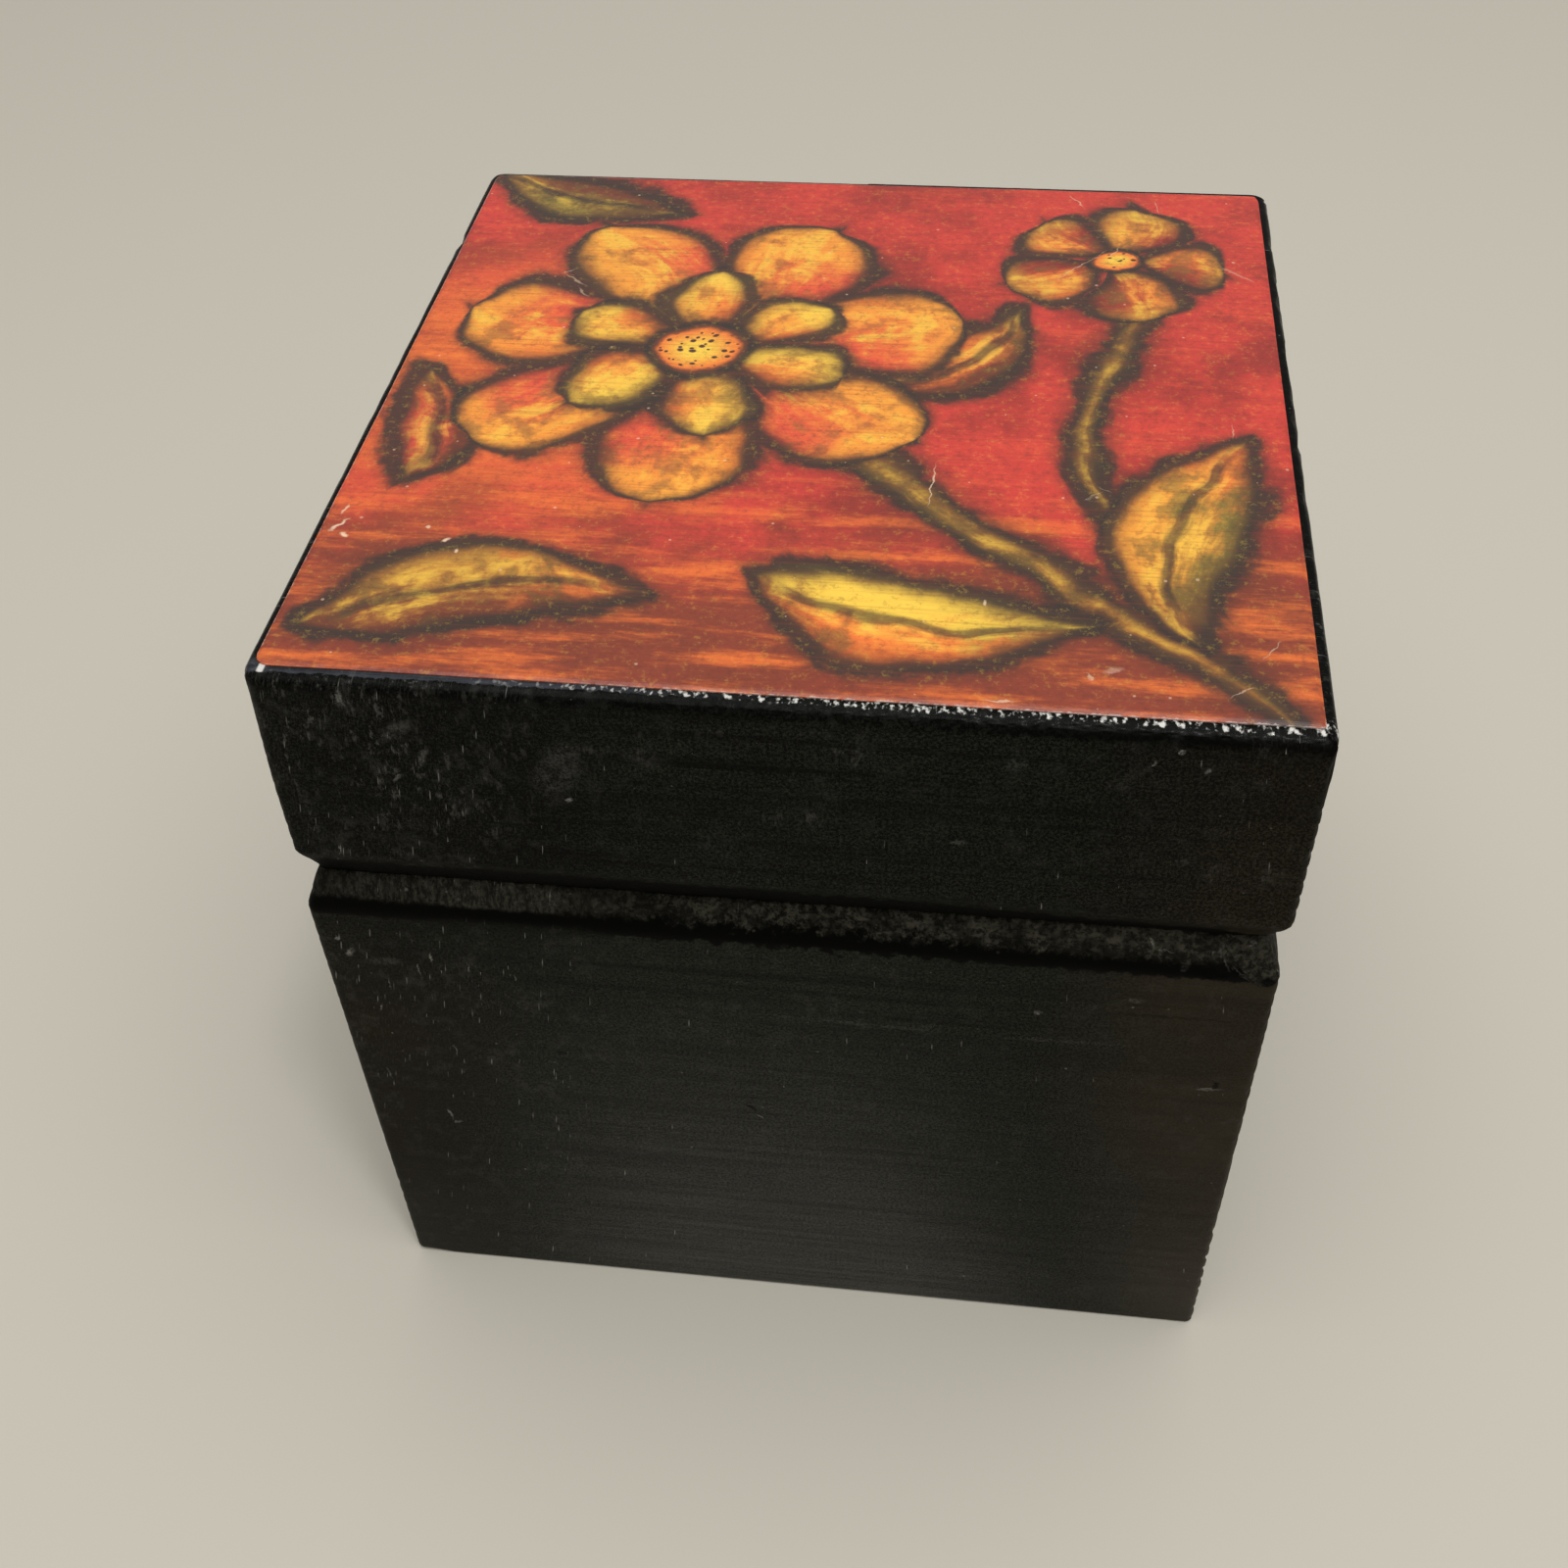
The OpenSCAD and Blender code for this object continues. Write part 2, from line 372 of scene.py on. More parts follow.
def outer_board(node, body, along_x, heart, x_step=0.8):
    """A lacquered board of the outside, from the box of its CAD node."""
    low, high = box_mm(node)
    full_w = high[0] - low[0] > 2 * HALF_W - 1
    full_d = high[1] - low[1] > 2 * HALF_D - 1
    on_lid = body == "lid"
    xs = board_cuts(low[0], high[0], (-HALF_W, HALF_W), x_step)
    ys = board_cuts(low[1], high[1], (-HALF_D, HALF_D), LONG_STEP if full_d or not full_w else SIDE_STEP)
    zs = board_cuts(low[2], high[2], (0, LID_TOP_Z), HEIGHT_STEP, FOOT_CUTS)
    points, quads = shell(xs, ys, zs)
    form = shaped(points, full_w, LID_WALL if on_lid else BASE_WALL, on_lid)
    piece = mesh_object(node + "_lacquered", form, quads, body, node)
    x, y, z = points.T
    depth = np.minimum(HALF_W - np.abs(x), HALF_D - np.abs(y))
    covered = np.where((depth < 1e-3) | (z > LID_TOP_Z - 1e-3), 1.0, np.clip(1 - depth / 5, 0, 1))
    store(piece, "paint", np.where(z < 1e-3, 0.74, covered))
    store(piece, "varnish", rise(form[:, 2], LID_TOP_Z - 0.7, LID_TOP_Z - 0.4) * on_lid)
    store(piece, "grain_place", grain_place(points, along_x, heart))
    return piece


def inner_board(node, along_x, heart):
    """A bare board of the inside: its box with softened edges."""
    low, high = box_mm(node)
    points, quads = shell(*(cuts(a, b, BARE_STEP, SOFT_CUTS, SOFT_CUTS) for a, b in zip(low, high)))
    centre, half = (low + high) / 2, (high - low) / 2
    core = np.clip(points - centre, BARE_EDGE_R - half, half - BARE_EDGE_R)
    beyond = points - centre - core
    shrink = np.abs(beyond).max(axis=1) / np.maximum(np.linalg.norm(beyond, axis=1), 1e-9)
    form = centre + core + beyond * shrink[:, None]
    piece = mesh_object(node + "_bare", form, quads, "base", node)
    store(piece, "grain_place", grain_place(points, along_x, heart))
    return piece


lacquered = [
    outer_board("base_front_board", "base", True, FRONT_HEART),
    outer_board("base_rear_board", "base", True, REAR_HEART),
    outer_board("base_left_board", "base", False, LEFT_HEART),
    outer_board("base_right_board", "base", False, RIGHT_HEART),
    outer_board("lid_front_rail", "lid", True, FRONT_HEART),
    outer_board("lid_rear_rail", "lid", True, REAR_HEART),
    outer_board("lid_left_rail", "lid", False, LEFT_HEART),
    outer_board("lid_right_rail", "lid", False, RIGHT_HEART),
    outer_board("lid_top_panel", "lid", True, TOP_HEART, x_step=0.25),
]
bare = [
    inner_board("base_floor_panel", True, (4, -30)),
    inner_board("lining_front_board", True, (-20, 40)),
    inner_board("lining_rear_board", True, (70, 30)),
    inner_board("lining_left_board", False, (-25, 55)),
    inner_board("lining_right_board", False, (60, 20)),
]

# Picture sheet: mesh

SHEET_LEFT_TRIM = 0.36
SHEET_REAR_R = 1.6
SHEET_FRONT_LEFT_R = 1.5
SHEET_FRONT_RIGHT_R = 0.4


def picture_piece():
    """The picture sheet: thin, with rounded rear corners and softened, slightly wavy edges."""
    low, high = box_mm("picture_sheet")
    xs, ys = (cuts(low[i], high[i], SHEET_STEP, SHEET_CUTS, SHEET_CUTS) for i in (0, 1))
    points, quads = shell(xs, ys, np.linspace(low[2], high[2], 4))
    x, y, z = points.T
    centre, half = (low + high) / 2, (high - low) / 2
    from_x, from_y = half[0] - np.abs(x - centre[0]), half[1] - np.abs(y - centre[1])
    front_r = np.where(x < centre[0], SHEET_FRONT_LEFT_R, SHEET_FRONT_RIGHT_R)
    corner = np.where(y > centre[1], SHEET_REAR_R, front_r)
    from_x, from_y = round_off(from_x, from_y, corner)
    near_edge = np.minimum(from_x, from_y)
    waver = 0.12 * roughly(points, 6, 12)
    near = 1 - rise(near_edge, 0, 1.5)
    trim_x = near * np.where(x < centre[0], SHEET_LEFT_TRIM + waver, 0.3 * waver)
    new_x = centre[0] + np.sign(x - centre[0]) * (half[0] - from_x - trim_x)
    new_y = centre[1] + np.sign(y - centre[1]) * (half[1] - from_y - near * waver)
    drop = 0.16 * (1 - rise(near_edge, 0, 0.5)) + 0.04 * roughly(points, (14, 5, 5), 13)
    new_z = low[2] + (high[2] - low[2] - drop) * (z - low[2]) / (high[2] - low[2])
    form = np.column_stack([new_x, new_y, new_z])
    piece = mesh_object("picture_sheet_varnished", form, quads, "lid", "picture_sheet")
    store(piece, "edge_depth", near_edge)
    return piece


picture = picture_piece()


# Shader helpers


class Wire:
    """An output of a shader node; sums with it add Math nodes."""

    def __init__(self, socket):
        self.socket = socket

    def __add__(self, other):
        return calc("ADD", self, other)

    def __sub__(self, other):
        return calc("SUBTRACT", self, other)

    def __rsub__(self, other):
        return calc("SUBTRACT", other, self)

    def __mul__(self, other):
        return calc("MULTIPLY", self, other)

    def __truediv__(self, other):
        return calc("DIVIDE", self, other)

    def __rtruediv__(self, other):
        return calc("DIVIDE", other, self)

    def __abs__(self):
        return calc("ABSOLUTE", self)


class Outputs:
    """The outputs of a node as wires, by their names or places."""

    def __init__(self, node):
        self.sockets = node.outputs

    def __getitem__(self, key):
        return Wire(self.sockets[key])

    def __iter__(self):
        return map(Wire, self.sockets)


def new_node(tree, kind, settings):
    """Adds a node with its settings."""
    node = tree.nodes.new(kind)
    for name, value in settings.items():
        setattr(node, name, value)
    return node


def feed(node, feeds):
    """Feeds the inputs of a node with wires or with fixed values; in their names _ stands for a space."""
    for key, value in feeds.items():
        socket = node.inputs[key.replace("_", " ") if isinstance(key, str) else key]
        if isinstance(value, Wire):
            node.id_data.links.new(value.socket, socket)
        else:
            socket.default_value = value


def put(kind, feeds, **settings):
    """Adds a node beside those that its wires come from, and returns its outputs."""
    tree = next(value.socket.id_data for value in feeds.values() if isinstance(value, Wire))
    node = new_node(tree, kind, settings)
    feed(node, feeds)
    return Outputs(node)


def source(tree, kind, output, **settings):
    """An output of a new node that takes no feeds."""
    return Outputs(new_node(tree, kind, settings))[output]


def attribute(tree, name, output="Fac"):
    """What store() kept for each point: a number, or a vector from the output of that name."""
    return source(tree, "ShaderNodeAttribute", output, attribute_name=name)


def calc(operation, *values, clamp=False):
    """One sum of the Math node."""
    return put("ShaderNodeMath", dict(enumerate(values)), operation=operation, use_clamp=clamp)[0]


def fused(first, second, third, clamp=False):
    """The product of the first two values, plus the third."""
    return calc("MULTIPLY_ADD", first, second, third, clamp=clamp)


def maximum(first, second, clamp=False):
    """The larger of two values."""
    return calc("MAXIMUM", first, second, clamp=clamp)


def product(total, *values):
    """All the values multiplied together."""
    for value in values:
        total = total * value
    return total


def mixed(share, under, over):
    """A colour laid over another by a share."""
    return put("ShaderNodeMix", {0: share, 6: under, 7: over}, data_type="RGBA")[2]


def blended(share, under, over):
    """A value that goes from one value to another by a share."""
    return put("ShaderNodeMix", {0: share, 2: under, 3: over}, data_type="FLOAT")[0]


def between(value, low, high, to_low=0.0, to_high=1.0):
    """Smooth step of a value from to_low at low to to_high at high."""
    feeds = {"Value": value, "From Min": low, "From Max": high, "To Min": to_low, "To Max": to_high}
    return put("ShaderNodeMapRange", feeds, interpolation_type="SMOOTHSTEP")[0]


def cloud(vector, scale, detail=2.0, roughness=0.5, output="Fac"):
    """Noise from 0 to 1, with scale in cells per millimetre: one number, or one for each axis."""
    if isinstance(scale, tuple):
        vector, scale = stretched(vector, scale), 1.0
    feeds = {"Vector": vector, "Scale": scale, "Detail": detail, "Roughness": roughness}
    return put("ShaderNodeTexNoise", feeds)[output]


def vector_calc(operation, *vectors, output="Vector"):
    """One sum of the Vector Math node."""
    return put("ShaderNodeVectorMath", dict(enumerate(vectors)), operation=operation)[output]


def stretched(vector, scale, offset=(0, 0, 0)):
    """Vector scaled on each axis, and moved."""
    return vector_calc("MULTIPLY_ADD", vector, scale, offset)


def rotated(vector, angle):
    """Vector turned about the z axis."""
    return put("ShaderNodeVectorRotate", {"Vector": vector, "Angle": angle}, rotation_type="Z_AXIS")[0]


def split(vector):
    """The x, y and z of a vector."""
    return put("ShaderNodeSeparateXYZ", {0: vector})


def joined(x, y, z):
    """A vector from its x, y and z."""
    return put("ShaderNodeCombineXYZ", {0: x, 1: y, 2: z})[0]


def colour(red, green, blue):
    """A colour given as the eye sees it, from 0 to 255, as Blender's linear values."""
    linear = [((c / 255 + 0.055) / 1.055) ** 2.4 if c > 10 else c / 255 / 12.92 for c in (red, green, blue)]
    return (*linear, 1.0)


VALUE, COLOUR, VECTOR = "NodeSocketFloat", "NodeSocketColor", "NodeSocketVector"


def new_group(name, inputs, outputs):
    """An empty node group with the named sockets; returns its inputs as wires, and its output node."""
    tree = bpy.data.node_groups.new(name, "ShaderNodeTree")
    for in_out, sockets in (("INPUT", inputs), ("OUTPUT", outputs)):
        for label, kind in sockets.items():
            tree.interface.new_socket(label.replace("_", " "), in_out=in_out, socket_type=kind)
    return Outputs(tree.nodes.new("NodeGroupInput")), tree.nodes.new("NodeGroupOutput")


def give(result, **values):
    """Sends values to the outputs of a node group, and returns the group."""
    feed(result, values)
    return result.id_data


def placed(group, **feeds):
    """Outputs of a placed node group."""
    return put("ShaderNodeGroup", feeds, node_tree=group)


def new_material(name):
    """A material; returns it with its tree, its shader and the position in millimetres."""
    material = bpy.data.materials.new(name)
    material.use_nodes = True
    tree = material.node_tree
    place = source(tree, "ShaderNodeTexCoord", "Object")
    return material, tree, tree.nodes["Principled BSDF"], stretched(place, (1 / MM,) * 3)


def finish(shader, height=None, **feeds):
    """Feeds the shader's inputs, and its normal from a height in millimetres."""
    feed(shader, feeds)
    if height is not None:
        bump = put("ShaderNodeBump", {"Height": height, "Distance": MM, "Strength": 1.0})
        feed(shader, {"Normal": bump[0]})


# Effects that several materials share


def make_growth_rings():
    """Growth rings and fibres of softwood, from a position along the grain and across it from the heart."""
    given, result = new_group(
        "growth_rings", dict(Place=VECTOR), dict(Late=VALUE, Fibre=VALUE, Broad=VALUE)
    )
    radius = vector_calc("LENGTH", stretched(given["Place"], (0, 1, 1)), output="Value")
    sway = cloud(given["Place"], (0.02, 0.05, 0.05), 3)
    part = calc("FRACT", fused(sway, 3.0, radius) / RING_PITCH)
    late = between(part, 0.35, 0.93) * between(part, 1.0, 0.95)
    fibre = cloud(given["Place"], (0.09, 3.2, 3.2), 4, 0.65)
    broad = cloud(given["Place"], (0.03, 0.35, 0.35), 2)
    return give(result, Late=late, Fibre=fibre, Broad=broad)


def turned_back(given):
    """The group's Place as seen from its Centre, turned back by its Turn."""
    away = vector_calc("SUBTRACT", given["Place"], given["Centre"])
    return rotated(away, given["Turn"] * -1.0)


def make_stroke():
    """A tapered, bent stroke in a plane: how far along and across it, and how deep inside its outline."""
    given, result = new_group(
        "stroke",
        dict(
            Place=VECTOR, Centre=VECTOR, Turn=VALUE, Half_length=VALUE, Half_width=VALUE,
            Bend=VALUE, Sway=VALUE, Fullness=VALUE, Pointed=VALUE, Seed=VALUE,
        ),
        dict(Along=VALUE, Across=VALUE, Depth=VALUE, Local=VECTOR),
    )
    x, y, z = split(turned_back(given))
    along = x / given["Half length"]
    square = along * along
    off = y - fused(square * along, given["Sway"], square * given["Bend"])
    bulge = calc("POWER", calc("SUBTRACT", 1.0, square, clamp=True), given["Pointed"])
    leaning = fused(along, given["Fullness"], 1.0)
    width = bulge * leaning * given["Half width"]
    # Past its two ends the stroke has no width, so the depth there falls with the distance along
    past = calc("SUBTRACT", abs(along), 1.0, clamp=True)
    depth = width - abs(off) - past * given["Half length"]
    across = off / maximum(width, 0.01)
    return give(result, Along=along, Across=across, Depth=depth, Local=joined(x, off, given["Seed"]))


def make_mark():
    """A soft oval mark in a plane, 1 in its middle; Size holds its half length and half width."""
    given, result = new_group(
        "mark", dict(Place=VECTOR, Centre=VECTOR, Turn=VALUE, Size=VECTOR), dict(Mask=VALUE)
    )
    scaled = vector_calc("DIVIDE", turned_back(given), given["Size"])
    distance = vector_calc("LENGTH", scaled, output="Value")
    return give(result, Mask=between(distance, 1.0, 0.35))


def make_specks(name, dimensions):
    """Small specks: Amount is the share of cells that hold one, and Size its radius."""
    given, result = new_group(
        name, dict(Place=VECTOR, Amount=VALUE, Size=VALUE, Cell=VALUE), dict(Mask=VALUE)
    )
    feeds = {"Vector": given["Place"], "Scale": 1.0 / given["Cell"], "Randomness": 1.0}
    cells = put("ShaderNodeTexVoronoi", feeds, voronoi_dimensions=dimensions)
    lot = put("ShaderNodeSeparateColor", {0: cells["Color"]})
    chosen = calc("LESS_THAN", lot[0], given["Amount"])
    distance = cells["Distance"] * given["Cell"]
    radius = given["Size"] * fused(lot[1], 0.8, 0.4)
    spot = between(distance / radius, 1.0, 0.55)
    return give(result, Mask=spot * chosen)


def make_petal_ring():
    """Turns a plane into sectors round a centre, each with x outwards, and draws a lot for each."""
    given, result = new_group(
        "petal_ring",
        dict(Place=VECTOR, Centre=VECTOR, Count=VALUE, Turn=VALUE),
        dict(Spot=VECTOR, Lot=VALUE, Number=VALUE),
    )
    turned = turned_back(given)
    x, y, z = split(turned)
    step = math.tau / given["Count"]
    sector = calc("ROUND", calc("ARCTAN2", y, x) / step)
    number = calc("FLOORED_MODULO", sector, given["Count"])
    spot = rotated(turned, sector * (step * -1.0))
    seed = fused(number, 1.37, given["Turn"])
    lot = put("ShaderNodeTexWhiteNoise", {"W": seed}, noise_dimensions="1D")["Value"]
    return give(result, Spot=spot, Lot=lot, Number=seed)


growth_rings = make_growth_rings()
stroke = make_stroke()
petal_ring = make_petal_ring()
mark = make_mark()
specks = make_specks("dust_specks", "3D")
dots = make_specks("dots_seen_from_above", "2D")


# How far noise moves the outlines of the marks on the front and on the sheet
FRONT_RAGGED = 1.0
SHEET_RAGGED = 1.1


def marked(place, ragged, x, y, turn, half_length, half_width):
    """Mask of one mark, turned by degrees, in a place that noise has moved by 0 to ragged."""
    centre = (x + ragged / 2, y + ragged / 2, 0)
    size = (half_length, half_width, 1)
    return placed(mark, Place=place, Centre=centre, Turn=math.radians(turn), Size=size)["Mask"]


def specked(group, place, amount, size, cell):
    """Mask of specks or dots."""
    return placed(group, Place=place, Amount=amount, Size=size, Cell=cell)["Mask"]


# Bare wood


def make_bare_wood():
    """Colour, roughness and height of sanded bare softwood."""
    given, result = new_group(
        "bare_softwood", dict(Place=VECTOR), dict(Colour=COLOUR, Roughness=VALUE, Height=VALUE)
    )
    rings = placed(growth_rings, Place=given["Place"])
    base = mixed(rings["Late"] * 0.75, colour(214, 178, 128), colour(176, 122, 70))
    base = mixed(between(rings["Broad"], 0.35, 0.7, 0, 0.4), base, colour(196, 150, 98))
    base = mixed(between(rings["Fibre"], 0.4, 0.75, 0, 0.35), base, colour(150, 106, 62))
    rough = between(rings["Fibre"], 0.3, 0.7, 0.55, 0.75)
    height = fused(rings["Fibre"], 0.06, rings["Late"] * 0.04)
    return give(result, Colour=base, Roughness=rough, Height=height)


bare_softwood = make_bare_wood()


def bare_wood_material():
    """Bare softwood of the lining and the floor, a little soiled."""
    material, tree, shader, place = new_material("bare_softwood_inside")
    wood = placed(bare_softwood, Place=attribute(tree, "grain_place", "Vector"))
    soiled = between(cloud(place, 0.08, 3), 0.45, 0.75, 0, 0.25)
    base = mixed(soiled, wood["Colour"], colour(120, 92, 60))
    finish(shader, wood["Height"], Base_Color=base, Roughness=wood["Roughness"])
    return material


# Black lacquer

DEEP_BLACK = colour(4, 4, 3)
# Painted shade: the groove's ledge darkened under its dust
PAINTED_GROOVE_SHADE = colour(13, 13, 10)
# Dust on the groove's ledge, paler than dust alone as painted light on that upward slope
LEDGE_DUST_AND_LIGHT = colour(60, 58, 49)
# Pale dust, also the painted highlight on the raised run and the ridge of the front
PALE_DUST_AND_HIGHLIGHT = colour(140, 138, 130)
# Painted sheen and painted glints along the top's front edge
PAINTED_SHEEN_GREY = colour(66, 69, 78)
PAINTED_GLINT_WHITE = colour(222, 220, 212)

# Marks on the front face: x, z, turn in degrees, half length, half width, dust, shade, height; zeros at the
# end of a row are left out
FRONT_MARKS = [
    # Dark streaks along the grain of the lid
    (-1, 92.7, 1, 19, 0.55, 0, 0.5, -0.02),
    (6, 89, -1, 12, 0.45, 0, 0.45, -0.02),
    (-8, 85.8, 0, 22, 0.5, 0, 0.35, -0.01),
    (-2, 82.2, 0, 26, 0.5, 0, 0.35, -0.01),
    (-6, 78.6, 1, 20, 0.4, 0, 0.3),
    # Dark streaks along the grain of the base
    (-4, 62.4, 0, 30, 0.7, 0, 0.45, -0.02),
    (4, 60.2, -1, 24, 0.5, 0, 0.4, -0.02),
    (-10, 58.6, 0, 26, 0.6, 0, 0.35, -0.01),
    (40, 60.9, 0, 9, 0.3, 0, 0.45, -0.02),
    (14, 57, -1, 20, 0.4, 0, 0.35, -0.02),
    # Long raised run of lacquer, in two parts, with a faint pale line along it that is painted highlight
    (6.5, 55.7, -2, 13, 0.3, 0.05, 0, 0.06),
    (29.5, 55.4, 1, 9.5, 0.3, 0.06, 0, 0.06),
    # Slash with a light chip at its end
    (-4.1, 38.6, -42, 1.1, 0.34, 0, 0.9, -0.2),
    (-3.2, 37, -50, 0.7, 0.2, 0.35, 0, 0.06),
    # Dark spots and pits
    (-25.2, 46.1, 0, 0.9, 0.6, 0, 0.7, -0.05),
    (-3, 52.4, -15, 1.7, 0.55, 0, 0.5, -0.04),
    (46, 50.1, 90, 0.9, 0.35, 0, 0.9, -0.2),
    (45.4, 49.1, 8, 1.9, 0.28, 0.25, 0, 0.08),
    # Light chips and dashes
    (-40.2, 32, 97, 1.2, 0.2, 0.5, 0, 0.03),
    (-39.6, 30.7, 20, 0.7, 0.35, 0.6, 0, 0.03),
    (-46.3, 39.5, 95, 1.3, 0.16, 0.35),
    (-44.9, 51.8, 72, 0.9, 0.18, 0.55),
    (-28.8, 58.9, 76, 0.7, 0.16, 0.55),
    (-47.4, 63.4, 60, 0.8, 0.25, 0.6),
    (-42.8, 60, 5, 2.6, 0.8, 0.08),
    (-46.5, 61.2, 60, 1.2, 0.55, 0.45, 0, 0.02),
    # Upright hairs
    (-37.6, 61.2, 88, 1, 0.12, 0.5),
    (-39.4, 58.9, 90, 1.3, 0.12, 0.55),
    (-33.7, 59.9, 90, 0.9, 0.12, 0.5),
    (-43.1, 56.1, 85, 1.3, 0.12, 0.5),
    (-37.5, 45.2, 92, 0.8, 0.14, 0.45),
    # Pale spots further right
    (26.6, 59.9, 0, 0.6, 0.4, 0.35, 0, 0.02),
    (36, 63.1, 0, 1.4, 0.5, 0.1),
    # Ridge that crosses the groove near its right end, its pale line partly painted highlight, with black
    # pits beside it that are painted shade, and crumbs
    (44.9, 72, 25, 0.9, 0.2, 0.13, 0, 0.06),
    (43.8, 70.8, 65, 0.8, 0.2, 0.12, 0, 0.06),
    (44.5, 69.3, -62, 1.1, 0.22, 0.16, 0, 0.08),
    (46.2, 68.2, -42, 1.7, 0.24, 0.16, 0, 0.08),
    (46.8, 71.5, 20, 0.5, 0.25, 0.25, 0, 0.04),
    (45.4, 70.5, 70, 0.9, 0.5, 0, 0.6, -0.08),
    (48.7, 67.5, -5, 1.2, 0.7, 0, 1.2, -0.1),
    (43.2, 68.3, -8, 1.9, 0.8, 0, 1.2, -0.1),
    (40.6, 68.6, 70, 0.8, 0.4, 0.05),
    (37.2, 70.8, -70, 0.8, 0.16, 0.35, 0, 0.05),
    (38.4, 70.1, -4, 1.1, 0.18, 0.35, 0, 0.05),
    (43.1, 70.3, 0, 0.35, 0.25, 0.35),
    # Scuffs and dust on the left of the lid
    (-20.2, 90.6, 62, 5.4, 2.9, 0.075),
    (-19.6, 86.8, 30, 0.5, 0.35, 0.55),
    (-35.2, 94.6, 40, 2.6, 1, 0.12),
    (-33.2, 91.3, 70, 2, 0.4, 0.2),
    (-36.2, 88.2, 50, 0.9, 0.3, 0.25),
    (-40, 98.2, 80, 1.4, 0.4, 0.3),
    # Specks on the right of the lid
    (36.7, 98, 70, 0.5, 0.3, 0.6),
    (34.4, 96.4, 70, 0.45, 0.28, 0.6),
    (39.2, 95.9, 60, 0.5, 0.3, 0.45),
    (22.4, 95.2, 20, 1.6, 1.1, 0.07),
    (17.6, 84.6, 10, 1, 0.5, 0.12),
]


def front_marks(place):
    """Dust, shade and height of the marks on the front face."""
    x, y, z = split(place)
    face = joined(x, z, 0.0)
    face = stretched(cloud(place, 1.6, 4, output="Color"), (FRONT_RAGGED, FRONT_RAGGED, 0), face)
    at_front = between(y, 3.0 - HALF_D, 2.2 - HALF_D)
    sums = [0.0, 0.0, 0.0]
    for row in FRONT_MARKS:
        mask = marked(face, FRONT_RAGGED, *row[:5])
        for index, amount in enumerate(row[5:]):
            if amount:
                sums[index] = fused(mask, amount, sums[index])
    return [total * at_front for total in sums]


def make_lint():
    """Lint and dust on the lacquer: fine upright hairs at the left end, with specks, dashes and blots."""
    given, result = new_group("lint", dict(Place=VECTOR, Across=VALUE), dict(Mask=VALUE))
    place, across = given["Place"], given["Across"]
    z = split(place)[2]
    patch = cloud(place, 0.1, 3, 0.6)
    hairy = maximum(between(across, -14, -36), between(patch, 0.52, 0.7, 0, 0.45))
    hairy = product(hairy, between(z, 10, 62, 0.25, 1.0), between(patch, 0.4, 0.58, 0.35, 1.1))
    # The hairs lean a little as they rise, to the right at the left end and to the left at the right end
    leaning = fused(z, fused(across, 0.0035, -0.042), across)
    upright = joined(leaning, 0.0, z * 0.2)
    mask = between(cloud(upright, 5.0, 3, 0.65), 0.5, 0.74, 0, 0.1) * hairy
    dashes = specked(specks, stretched(upright, (2.6, 1.0, 1.4)), fused(hairy, 0.46, 0.012), 0.2, 0.8)
    bright = between(cloud(place, 0.5, 2), 0.42, 0.62, 0.16, 0.62)
    mask = maximum(mask, dashes * bright)
    small = specked(specks, place, between(patch, 0.4, 0.65, 0.12, 0.34), 0.17, 1.2)
    mask = maximum(mask, small * 0.2)
    mask = maximum(mask, specked(specks, place, 0.16, 0.3, 3.0) * 0.34)
    blot = cloud(place, 0.45, 5, 0.7)
    blot = between(blot, 0.5, 0.68, 0, 0.045) * between(hairy, 0.0, 0.6, 0.5, 1.2)
    fleck = cloud(place, (1.3, 1.3, 0.55), 4, 0.7)
    fleck = product(between(fleck, 0.55, 0.68, 0, 0.21), hairy, between(z, 76, 84))
    mask = maximum(mask, fleck)
    return give(result, Mask=mask + blot)


lint = make_lint()


